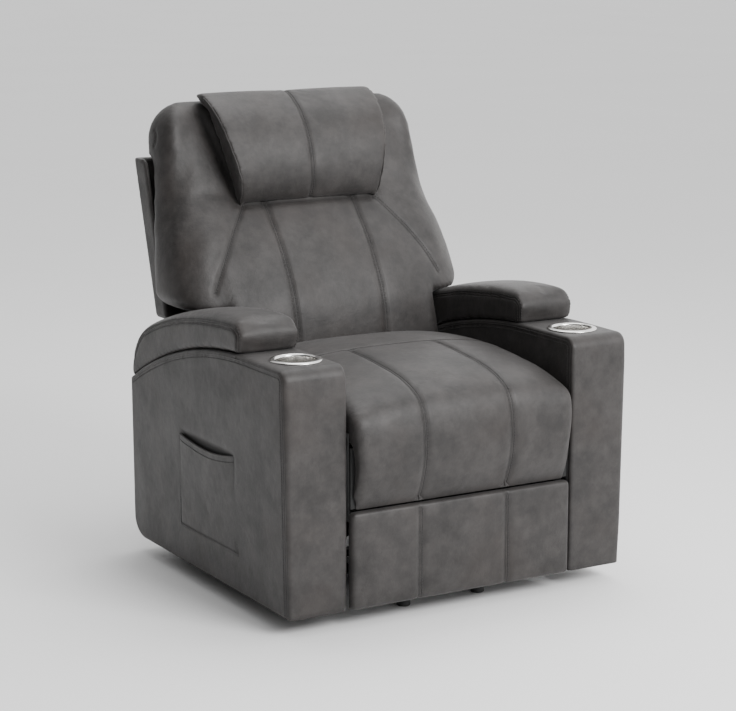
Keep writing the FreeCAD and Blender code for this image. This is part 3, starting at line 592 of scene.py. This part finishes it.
def makeFootrest(look):
    pad = softBlank("footrestPad", "footrest_pad", "footrest", look["voxel"], 6)

    def form(point, normal):
        x, y, z = chair(point)
        point.x *= look["widen"]
        point.z += 1.5 * mm * ramp01(z, 225, 250)
        return point

    shape(pad, form)

    def held(point):
        x, y, z = chair(point)
        seam = 1.0 if abs(abs(x) - look["seamX"]) < 5 else 0.0
        rear = 1.0 if y > 6 else 0.0
        edge = 0.8 if abs(x) > 270 or z > 250 or z < 48 else 0.0
        return max(seam, rear, edge)

    puff(pad, held, look["pressure"], look["cap"])
    inward = Vector((0, 1, 0))
    rays = [[(at(side * look["seamX"], -120, z), inward) for z in range(46, 252, 3)] for side in (-1, 1)]
    press(pad, trace(pad, *rays), 9, 3.6)
    seams = trace(pad, *rays)
    for index, path in enumerate(seams):
        tube(f"footrestSeam{index + 1}", path, 1.9, 0.9, "footrest")
    settle(sew("footrestStitches", seams, "footrest"), pad)
    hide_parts("footrest_pad")


makeFootrest(footrestLook)
print("footrest made")


backLook = {
    "seamX": 120.0,
    "voxel": 8.0,
    "cap": 20.0,
    "pillowLow": 832.0,
    "flankEnd": 306.0,
    "flankLow": 648.0,
    "wingForward": 24.0,
    "wingInward": 7.0,
    "wingDrop": 21.0,
    "pressure": 3.0,
}


def flankAt(z, look=backLook):
    # half-width of the hourglass seam at height z: from the pillow's corner out to the wing
    share = (look["pillowLow"] - z) / (look["pillowLow"] - look["flankLow"])
    share = max(0.0, min(1.0, share))
    return 180 + (look["flankEnd"] - 180) * share * (1.3 - 0.3 * share)


def pillowHalf(z):
    return 187 + 48 * ramp01(z, 850, 1095)


def frontLine(points):
    return [(at(x, 250, z), Vector((0, 1, 0))) for x, z in points]


def makeBack(look):
    back = softBlank("backCushion", "back_cushion", "back", look["voxel"], 20)

    def form(point, normal):
        x, y, z = chair(point)
        side = abs(x)
        wing = ramp01(side, 274, 294) * (1 - ramp01(z, 628, 780))
        point.z -= look["wingDrop"] * mm * wing                      # wings hang just over the pads
        facing = ramp01(side, 225, 335) * ramp01(-normal.y, -0.1, 0.5)
        point.y -= look["wingForward"] * mm * facing
        point.x -= math.copysign(look["wingInward"] * mm, x) * facing
        if normal.y < -0.2:
            roll = math.exp(-((side - flankAt(z) - 60) / 52) ** 2) * (1 - ramp01(z, 800, 860))
            point.y -= 7 * mm * roll                                # bolsters outside the seams
            point.y -= 5 * mm * math.exp(-((z - 620) / 90) ** 2) * (1 - ramp01(side, 80, 250))
            beside = ramp01(side, pillowHalf(z) - 30, pillowHalf(z) + 4) * ramp01(z, 820, 860)
            point.y += 7 * mm * beside * (1 - ramp01(side, 280, 330))
        return point

    shape(back, form)

    def held(point):
        x, y, z = chair(point)
        seam = 1.0 if abs(abs(x) - look["seamX"]) < 6 and z < 1000 else 0.0
        flank = 0.9 if abs(abs(x) - flankAt(z)) < 7 and z < look["pillowLow"] else 0.0
        foot = 1.0 if z < 480 else 0.0
        inner = 1.0 if abs(x) < 262 and y > 640 + (z - 560) * 0.55 else 0.0
        under = 0.9 if z < 622 and abs(x) > 285 else 0.0
        beside = 0.8 if abs(abs(x) - pillowHalf(z)) < 12 and z > 830 else 0.0
        return max(seam, flank, foot, inner, under, beside)

    puff(back, held, look["pressure"], look["cap"])
    calm(back, lambda point: abs(point.x) > 0.135, 26)
    calm(back, lambda point: abs(point.x) > 0.2, 40)
    middles = [frontLine([(side * look["seamX"], z) for z in range(478, 860, 4)]) for side in (-1, 1)]
    heights = [look["pillowLow"] - (look["pillowLow"] - look["flankLow"]) * step / 60 for step in range(61)]
    flanks = [frontLine([(side * flankAt(z), z) for z in heights]) for side in (-1, 1)]
    boxing = [
        frontLine([(side * (342 + (z - 1000) * -0.16), z) for z in range(640, 1010, 5)])
        for side in (-1, 1)]
    nook = [frontLine([(side * (pillowHalf(z) + 3), z) for z in range(836, 1040, 4)]) for side in (-1, 1)]
    ledge = frontLine([(x, 836) for x in range(-186, 187, 4)])
    press(back, trace(back, *middles), 9, 4.5)
    press(back, trace(back, *flanks), 8, 3.6)
    press(back, trace(back, *boxing), 6, 2.2, 0.6)
    # painted shade: the nook and ledge presses darken the back beside and under the pillow, where it would
    # cast shadow
    press(back, trace(back, *nook, ledge), 14, 5, 0.7)
    middles = trace(back, *middles)
    flanks = trace(back, *flanks)
    boxing = trace(back, *boxing)
    for index, path in enumerate(middles):
        tube(f"backSeam{index + 1}", path, 1.9, 0.9, "back")
    for index, path in enumerate(flanks + boxing):
        tube(f"flankSeam{index + 1}", path, 1.5, 0.9, "back")
    settle(sew("backStitches", middles, "back"), back)
    settle(sew("flankStitches", flanks, "back", (5.0,)), back)
    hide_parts("back_cushion")


pillowLook = {"voxel": 6.0, "pressure": 6.0, "cap": 16.0, "swell": 6, "sink": 12, "drop": 8}


def makePillow(look):
    pillow = softBlank("headPillow", "head_pillow", "back", look["voxel"], 5)

    def form(point, normal):
        x, y, z = chair(point)
        swell = math.exp(-((z - 900) / 62) ** 2) * max(0.0, -normal.y)
        point.y -= look["swell"] * mm * swell
        behind = max(0.0, normal.y) * (1 - ramp01(z, 1000, 1060))
        point.y += look["sink"] * mm * behind                        # sinks into the back
        point.z -= look["drop"] * mm * (1 - ramp01(z, 834, 880))
        return point

    shape(pillow, form)

    def held(point):
        x, y, z = chair(point)
        seam = 1.0 if abs(x) < 5 else 0.0
        rear = 0.9 if y > 704 + (z - 834) * 0.62 else 0.0
        ends = 0.75 if abs(x) > pillowHalf(z) - 8 else 0.0
        return max(seam, rear, ends)

    puff(pillow, held, look["pressure"], look["cap"])
    spine = [(at(0, 500, z), Vector((0, 1, 0))) for z in range(838, 1086, 3)]
    spine += [(at(0, y, 1200), Vector((0, 0, -1))) for y in range(796, 834, 3)]
    middle, = trace(pillow, spine)
    press(pillow, [middle], 8, 3.6)
    middle, = trace(pillow, spine)
    tube("pillowSeam", middle, 1.9, 0.9, "back")
    for side in (-1, 1):
        near = frontLine([(side * (pillowHalf(z) - 16), z) for z in range(836, 1084, 3)])
        front, = trace(pillow, near)
        corner = [
            Vector((side * pillowHalf(point.z / mm) * mm, point.y + 5 * mm, point.z))
            for point, normal in front]
        edge, = cling(pillow, corner)
        press(pillow, [edge], 4, 1.2, 0.5)
        tube("pillowEndSeam" + ("Left" if side > 0 else "Right"), edge, 2.0, 0.5, "back")
    settle(sew("pillowStitches", [middle], "back"), pillow)
    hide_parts("head_pillow")


def makeBackPanel():
    panel = softBlank("outsideBack", "back_shell", "back", 5.0, 3)
    puff(panel, lambda point: 1.0, 1.0, 1.0)
    low, high = (Vector(corner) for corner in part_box("back_shell"))
    inset = 0.022
    heights = [high.z - inset - (high.z - low.z - 2 * inset) * step / 89 for step in range(90)]
    back = Vector((0, -1, 0))
    sides = [
        [(Vector((side * (high.x - inset), high.y + 0.1, z)), back) for z in heights]
        for side in (1, -1)]
    top = [(Vector((x * mm, high.y + 0.1, high.z - inset)), back) for x in range(-342, 343, 5)]
    paths = trace(panel, *sides, top)
    press(panel, paths, 6, 1.8)
    for index, path in enumerate(paths):
        tube(f"outsideBackSeam{index + 1}", path, 1.6, 0.2, "back")
    settle(sew("outsideBackStitches", paths, "back", (5.0,)), panel)
    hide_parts("back_shell")


dustLook = {"half": 262.0, "low": (614.0, 444.0), "high": (786.0, 572.0), "sag": 5.0, "thick": 1.4}


def makeDustCloth(look):
    # black cloth from the posts' feet to the lower edge of the outside back
    (y0, z0), (y1, z1) = look["low"], look["high"]
    bm = bmesh.new()
    bmesh.ops.create_grid(bm, x_segments=40, y_segments=20, size=0.5)
    for vertex in bm.verts:
        u, v = vertex.co.x * 2, vertex.co.y + 0.5
        sag = look["sag"] * (1 - u * u) * math.sin(math.pi * v) + 0.8 * fold(u * 5 + v)
        vertex.co = at(u * look["half"], y0 + (y1 - y0) * v + sag * 0.6, z0 + (z1 - z0) * v - sag * 0.8)
    cloth = show("dustCloth", toMesh(bm, "dustCloth"), darkCloth, "back")
    wall = cloth.modifiers.new("wall", "SOLIDIFY")
    wall.thickness = look["thick"] * mm
    bake(cloth)
    cloth.data.shade_smooth()


makeBack(backLook)
makePillow(pillowLook)
makeBackPanel()
makeDustCloth(dustLook)
print("back made")


armLook = {
    "flatEnd": 175.0,
    "fallRadius": 1310.0,
    "noseRadius": 28.0,
    "heelRadius": 50.0,
    "edge": 9.0,
    "tile": 24.0,
    "cupX": 358.0,
    "cupY": 98.0,
    "cupHole": 50.0,
    "stitchIn": 9.0,
    "flare": 9.0,
    "depth": 789,
    "bottom": 40,
    "top": 580,
}


def armFall(y, look=armLook):
    drop = math.sqrt(look["fallRadius"] ** 2 - (y - look["flatEnd"]) ** 2)
    return armHigh.z / mm - look["fallRadius"] + drop


def armOutline(look, steps=26):
    # (y, z) of the arm's side view, from the bottom front corner round to the bottom rear
    top = armHigh.z / mm
    bottom = armLow.z / mm
    rear = (armHigh.y - armLow.y) / mm
    nose, heel = look["noseRadius"], look["heelRadius"]
    turns = [math.radians(90 * step / 8) for step in range(9)]
    line = [(0.0, bottom)]
    line += [(nose - nose * math.cos(turn), top - nose + nose * math.sin(turn)) for turn in turns]
    falls = [look["flatEnd"] + (rear - look["flatEnd"]) * step / steps for step in range(steps + 1)]
    line += [(y, armFall(y)) for y in falls]
    line += [(rear - heel + heel * math.cos(turn), bottom + heel - heel * math.sin(turn)) for turn in turns]
    return line


def drawnIn(outline, inset, x):
    # points at x along the outline, `inset` millimetres inside it
    points = []
    for (y0, z0), (y1, z1) in zip(outline, outline[1:]):
        run = math.hypot(y1 - y0, z1 - z0)
        parts = max(1, int(run / 6))
        for part in range(parts if run > 1e-6 else 0):
            share = part / parts
            y = y0 + (y1 - y0) * share + (z1 - z0) / run * inset
            z = z0 + (z1 - z0) * share - (y1 - y0) / run * inset
            points.append(at(x, y, z))
    return points


def makeArmBlank(name, side, look):
    outline = armOutline(look)
    inner, outer = armLow.x / mm, armHigh.x / mm
    bm = bmesh.new()
    face = bm.faces.new([bm.verts.new(at(side * inner, y, z)) for y, z in outline])
    grown = bmesh.ops.extrude_face_region(bm, geom=[face])
    moved = [part for part in grown["geom"] if isinstance(part, bmesh.types.BMVert)]
    bmesh.ops.translate(bm, verts=moved, vec=Vector((side * (outer - inner) * mm, 0, 0)))
    bmesh.ops.recalc_face_normals(bm, faces=bm.faces)
    rims = [edge for edge in bm.edges if abs(edge.verts[0].co.x - edge.verts[1].co.x) < 1e-6]
    bmesh.ops.bevel(
        bm, geom=rims, offset=look["edge"] * mm, segments=5, profile=0.5, affect="EDGES", material=-1)
    reaches = ((1, 0, look["depth"]), (2, look["bottom"], look["top"]), (0, side * inner, side * outer))
    for axis, low, high in reaches:
        count = int(abs(high - low) / look["tile"])
        for step in range(1, count):
            spot = [0, 0, 0]
            spot[axis] = low + (high - low) * step / count
            plane = Vector([1.0 if index == axis else 0.0 for index in range(3)])
            geometry = list(bm.verts) + list(bm.edges) + list(bm.faces)
            bmesh.ops.bisect_plane(bm, geom=geometry, plane_co=at(*spot), plane_no=plane)
    bmesh.ops.triangulate(bm, faces=[face for face in bm.faces if len(face.verts) > 4])
    arm = show(name, toMesh(bm, name), leather, "base")
    fine = arm.modifiers.new("fine", "SUBSURF")
    fine.subdivision_type = "SIMPLE"
    fine.levels = 1
    fine.render_levels = 1
    bake(arm)
    return arm, outline


def carve(arm, bm):
    # takes a closed form out of the arm
    tool = bpy.data.objects.new("cutter", toMesh(bm, "cutter"))
    bpy.context.collection.objects.link(tool)
    hole = arm.modifiers.new("hole", "BOOLEAN")
    hole.operation = "DIFFERENCE"
    hole.solver = "EXACT"
    hole.object = tool
    bake(arm)
    bpy.data.objects.remove(tool)
    arm.data.shade_smooth()


def cutSwitchHole(arm):
    low, high = (Vector(corner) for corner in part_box("switch_panel"))
    low -= Vector((2, 0.4, 0.4)) * mm
    high += Vector((12, 0.4, 0.4)) * mm
    bm = bmesh.new()
    bmesh.ops.create_cube(bm, size=1.0)
    for vertex in bm.verts:
        vertex.co = Vector([(low, high)[vertex.co[axis] > 0][axis] for axis in range(3)])
    carve(arm, bm)


def cutCupHole(arm, side, look):
    bm = bmesh.new()
    bmesh.ops.create_cone(
        bm, cap_ends=True, segments=64, radius1=look["cupHole"] * mm, radius2=look["cupHole"] * mm,
        depth=160 * mm, matrix=Matrix.Translation(at(side * look["cupX"], look["cupY"], 590)))
    carve(arm, bm)


def makeArm(side, look):
    name = "armLeft" if side > 0 else "armRight"
    arm, outline = makeArmBlank(name, side, look)

    def soften(point, normal):
        x, y, z = chair(point)
        edgeY = ramp01(min(y, look["depth"] - y), 0, 70)
        outward = max(0.0, normal.x * side)
        flare = look["flare"] * ((z - 40) / 540) * outward * (0.35 + 0.65 * (1 - ramp01(y, 250, 700)))
        swell = 2.0 * edgeY * ramp01(z, 40, 110) * (1 - ramp01(z, 470, 560)) * abs(normal.x)
        front = 3.0 * max(0.0, -normal.y) * ramp01(z, 45, 150) * (1 - ramp01(z, 500, 575))
        wave = 0.6 * fold(y / 90 + side) * fold(z / 110 + 2 * side) * edgeY
        return point + normal * (swell + front + wave) * mm + Vector((side * flare * mm, 0, 0))

    shape(arm, soften)
    cutCupHole(arm, side, look)
    last = len(outline) - 9
    along = outline[:last]
    inward = Vector((-side, 0, 0))
    faces = [(side * (armHigh.x / mm + 60), inward), (side * (armLow.x / mm - 60), -inward)]

    def sideRays(inset):
        return [[(point, aim) for point in drawnIn(along, inset, x)] for x, aim in faces]

    press(arm, trace(arm, *sideRays(look["edge"] + 1.0)), 4.5, 1.5, 0.7)
    seams = trace(arm, *sideRays(look["edge"] + 1.0))
    rows = trace(arm, *sideRays(look["edge"] + look["stitchIn"]))
    for index, path in enumerate(seams):
        tube(f"{name}Seam{index + 1}", path, 1.3, 0.3, "base")
    settle(sew(f"{name}Stitches", rows, "base", (0.0,)), arm)
    if side < 0:
        sinkPocketMouth(arm)
        cutSwitchHole(arm)
    ending = "left" if side > 0 else "right"
    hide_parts(f"arm_cover_{ending}")


pocketLook = {"sag": 15.0, "bulge": 6.0, "thick": 2.4, "slitFront": 357.0, "slitRear": 349.0}


def hemHeight(share, look=pocketLook):
    # the mouth's sagging edge: share runs from the pocket's front end to its rear end
    straight = look["slitFront"] + (look["slitRear"] - look["slitFront"]) * share
    return straight - 3 - look["sag"] * math.sin(math.pi * share ** 0.85) ** 1.1


def sinkPocketMouth(arm, look=pocketLook):
    # the arm's face draws back behind the open mouth, and shade is painted there through the crease mask
    creaseShade = arm.data.attributes["creaseShade"]
    outer = [vertex for vertex in arm.data.vertices if vertex.normal.x < -0.5]
    for vertex in outer:
        x, y, z = chair(vertex.co)
        if x < -425:
            share = (y - 236) / (512 - 236)
            across = ramp01(share, -0.02, 0.05) * (1 - ramp01(share, 0.94, 1.0))
            top = look["slitFront"] + (look["slitRear"] - look["slitFront"]) * share
            inside = (1 - ramp01(z, top - 3, top + 2)) * ramp01(z, 250, 320) * across
            vertex.co.x += 6 * mm * inside
            creaseShade.data[vertex.index].value = max(creaseShade.data[vertex.index].value, min(1.0, 1.6 * inside))


padLook = {"voxel": 6.0, "cap": 11.0, "pressure": 5.5}


def padSeam(y):
    # height of the boxing's upper seam at y: it rises over the arm's fall, then rolls down
    return armFall(y) + 57 + 24 * ramp01(y, 207, 694) ** 1.4 - 46 * ramp01(y, 715, 800)


def makeArmPad(side):
    ending = "Left" if side > 0 else "Right"
    node = "arm_pad_" + ending.lower()
    pad = softBlank("armPad" + ending, node, "base", padLook["voxel"], 5)

    def form(point, normal):
        x, y, z = chair(point)
        outward = max(0.0, normal.x * side)
        point.x += side * mm * 8 * outward * (1 - ramp01(y, 250, 700))
        point.y -= 3 * mm * max(0.0, -normal.y) * ramp01(z, 590, 625)
        point.z += 5 * mm * max(0.0, normal.z) * (1 - ramp01(y, 500, 700))
        return point

    shape(pad, form)

    def held(point):
        x, y, z = chair(point)
        wall = abs(abs(x) - 361) > 60
        seam = 0.9 if abs(z - padSeam(y)) < 6 and wall else 0.0
        low = 1.0 if z < padSeam(y) - 44 else 0.0
        walls = 0.75 if wall and z < padSeam(y) else 0.0
        return max(seam, low, walls)

    puff(pad, held, padLook["pressure"], padLook["cap"])
    route = [(214, 584 + 3 * step) for step in range(10)]
    route += [(228 - 14 * math.cos(turn), 612 + 18 * math.sin(turn)) for turn in (0.3, 0.6, 0.9, 1.2, 1.5)]
    route += [(y, padSeam(y)) for y in range(236, 788, 4)]
    lines = [[at(x, y, z) for y, z in route] for x in (side * 440, side * 282)]
    press(pad, cling(pad, *lines), 6, 2.4)
    welts = cling(pad, *lines)
    for index, path in enumerate(welts):
        tube(f"armPad{ending}Welt{index + 1}", path, 1.7, 0.4, "base")
    settle(sew(f"armPad{ending}Stitches", welts, "base", (-6.0, 6.0)), pad)
    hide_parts(node)


for side in (1, -1):
    makeArm(side, armLook)
    makeArmPad(side)
print("arms made")


cupLook = {"flange": 57.5, "well": 44.0, "depth": 70.0, "wall": 1.3, "lip": 4.6}


def makeCup(side, look):
    ending = "Left" if side > 0 else "Right"
    centre = at(side * armLook["cupX"], armLook["cupY"], 580)
    well, flange, lip = look["well"], look["flange"], look["lip"]
    turns = [math.radians(90 * step / 5) for step in range(1, 6)]
    section = [(0, -look["depth"]), (well - 9, -look["depth"])]
    section += [(well - 9 + 9 * math.sin(turn), -look["depth"] + 9 - 9 * math.cos(turn)) for turn in turns]
    section += [(well, -20), (well, lip - 5)]
    section += [(well + 5 - 5 * math.cos(turn), lip - 5 + 5 * math.sin(turn)) for turn in turns]
    section += [(flange - 6, lip - 0.6), (flange - 2.2, lip - 1.6), (flange, 0.8), (flange - 0.8, 0.2)]
    bm = bmesh.new()
    dots = [bm.verts.new(centre + Vector((radius * mm, 0, z * mm))) for radius, z in section]
    for a, b in zip(dots, dots[1:]):
        bm.edges.new((a, b))
    bmesh.ops.spin(
        bm, geom=list(bm.verts) + list(bm.edges), cent=centre, axis=(0, 0, 1), angle=math.tau,
        steps=72, use_merge=True)
    bmesh.ops.remove_doubles(bm, verts=bm.verts, dist=1e-6)
    bmesh.ops.recalc_face_normals(bm, faces=bm.faces)
    floor = min(bm.faces, key=lambda face: face.calc_center_median().z)
    if floor.normal.z < 0:
        bmesh.ops.reverse_faces(bm, faces=bm.faces)
    cup = show("cup" + ending, toMesh(bm, "cup"), finishOfSlot["steel_bright"], "base")
    wall = cup.modifiers.new("wall", "SOLIDIFY")
    wall.thickness = look["wall"] * mm
    wall.offset = -1
    bake(cup)
    cup.data.shade_smooth()
    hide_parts("cup_holder_" + ending.lower())


for side in (1, -1):
    makeCup(side, cupLook)
print("cups made")


def makePocket(look):
    low, high = (Vector(corner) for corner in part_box("side_pocket"))
    face = -armHigh.x
    width = high.y - low.y
    bm = bmesh.new()
    bmesh.ops.create_grid(bm, x_segments=72, y_segments=60, size=0.5)
    for vertex in bm.verts:
        u, v = vertex.co.x + 0.5, vertex.co.y + 0.5
        z = low.z + (hemHeight(u) * mm - low.z) * v
        belly = math.sin(math.pi * u) ** 0.55 * (0.15 + 0.85 * v ** 1.3)
        dimple = 2.2 * math.exp(-((u - 0.45) / 0.16) ** 2 - ((v - 0.42) / 0.16) ** 2)
        out = 3.2 + look["bulge"] * belly * (1 if v > 0.03 else 0.4) - dimple
        out += 0.9 * fold(u * 7 + v * 2) * v * (1 - abs(2 * u - 1))
        near = (1 - ramp01(z, 0.1, 0.35)) * 0.5
        vertex.co = Vector((face - (out + near) * mm, low.y + width * u, z))
    bmesh.ops.recalc_face_normals(bm, faces=bm.faces)
    if sum(face.normal.x for face in bm.faces) > 0:
        bmesh.ops.reverse_faces(bm, faces=bm.faces)
    pocket = show("sidePocket", toMesh(bm, "sidePocket"), leather, "base")
    wall = pocket.modifiers.new("wall", "SOLIDIFY")
    wall.thickness = look["thick"] * mm
    wall.offset = -1
    bake(pocket)
    pocket.data.shade_smooth()
    outward = Vector((1, 0, 0))
    x = face - 0.05

    def hem(drop):
        shares = [0.02 + 0.96 * step / 79 for step in range(80)]
        return [(Vector((x, low.y + width * u, (hemHeight(u) - drop) * mm)), outward) for u in shares]

    inset = 0.006
    y0, y1 = low.y + inset, high.y - inset
    z0, z1 = low.z + inset, (hemHeight(0.03) - 6) * mm
    border = [(Vector((x, y0, z1 - (z1 - z0) * step / 49)), outward) for step in range(50)]
    border += [(Vector((x, y0 + (y1 - y0) * step / 59, z0)), outward) for step in range(60)]
    border += [(Vector((x, y1, z0 + (z1 - z0) * step / 49)), outward) for step in range(50)]
    edge, top, row = trace(pocket, border, hem(2.0), hem(15.0))
    press(pocket, [edge], 6, 0.8, 0.7)
    tube("pocketHem", top, 1.6, 0.5, "base")
    settle(sew("pocketStitches", [edge, row], "base", (0.0,)), pocket)
    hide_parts("side_pocket")


makePocket(pocketLook)
print("pocket made")


# hard parts keep their own mesh and take the finish of their slot
slotOfNode = {part["node"]: part["material_slot"] for part in frame["record"]["subparts"]}
# the seat's boards and the rear skirt take the black lining cloth; on the seat's boards it is partly painted
# shade for the gap between seat and arms
clothCovered = ("rear_skirt", "seat_front_board", "seat_side_boards", "seat_rear_board")
for node, holder in frame["nodes"].items():
    finish = darkCloth if node in clothCovered else finishOfSlot[slotOfNode[node]]
    holder.data.materials.clear()
    holder.data.materials.append(finish)

for piece in list(bpy.context.collection.objects):
    body = piece.get("rides")
    if body:
        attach(piece, body)
        del piece["rides"]
print("hard parts finished")


def makeFloor():
    bm = bmesh.new()
    bmesh.ops.create_grid(bm, x_segments=8, y_segments=8, size=60)
    floor = bpy.data.objects.new("floor", toMesh(bm, "floor"))
    bpy.context.collection.objects.link(floor)
    paint = Finish("pale floor")
    cast = paint.noise(0.7, 2)
    paint.set(Base_Color=paint.mix(cast, grey(0.86), grey(0.90)), Roughness=0.85)
    floor.data.materials.append(paint.material)


def makeLamp(name, place, aim, size, power):
    light = bpy.data.lights.new(name, "AREA")
    light.shape = "RECTANGLE"
    light.size, light.size_y = size
    light.energy = power
    lamp = bpy.data.objects.new(name, light)
    bpy.context.collection.objects.link(lamp)
    lamp.location = place
    lamp.rotation_euler = (Vector(aim) - Vector(place)).to_track_quat("-Z", "Y").to_euler()


cameraLook = {"place": (-2.5075, -3.8846, 1.5009), "azimuth": -30.293, "pitch": 11.386, "lens": 106.48}


def makeCamera(look):
    data = bpy.data.cameras.new("camera")
    data.lens = look["lens"]
    data.sensor_width = 36
    camera = bpy.data.objects.new("camera", data)
    bpy.context.collection.objects.link(camera)
    x, y, z = look["place"]
    camera.location = (x, y + armLow.y, z)
    camera.rotation_euler = (math.radians(90 - look["pitch"]), 0, math.radians(look["azimuth"]))
    bpy.context.scene.camera = camera


makeFloor()
makeLamp("key", (0.9, -3.9, 2.8), (0, 0, 0.55), (2.0, 1.8), 225)
makeLamp("top", (0.5, 0.5, 3.6), (0, 0, 0.4), (2.2, 2.2), 58)

# pale surroundings, brighter from the chair's left than from its pocket side
world = bpy.data.worlds.new("studio")
world.use_nodes = True
studio = world.node_tree
direction = studio.nodes.new("ShaderNodeTexCoord").outputs["Generated"]
split = studio.nodes.new("ShaderNodeSeparateXYZ")
studio.links.new(direction, split.inputs[0])
sideways = Wire(studio, split.outputs["X"])
backdrop = studio.nodes["Background"]
backdrop.inputs["Color"].default_value = (1, 1, 1, 1)
feed(studio, backdrop.inputs["Strength"], 1.1 + sideways * 1.25)
bpy.context.scene.world = world
makeCamera(cameraLook)
print("room made")
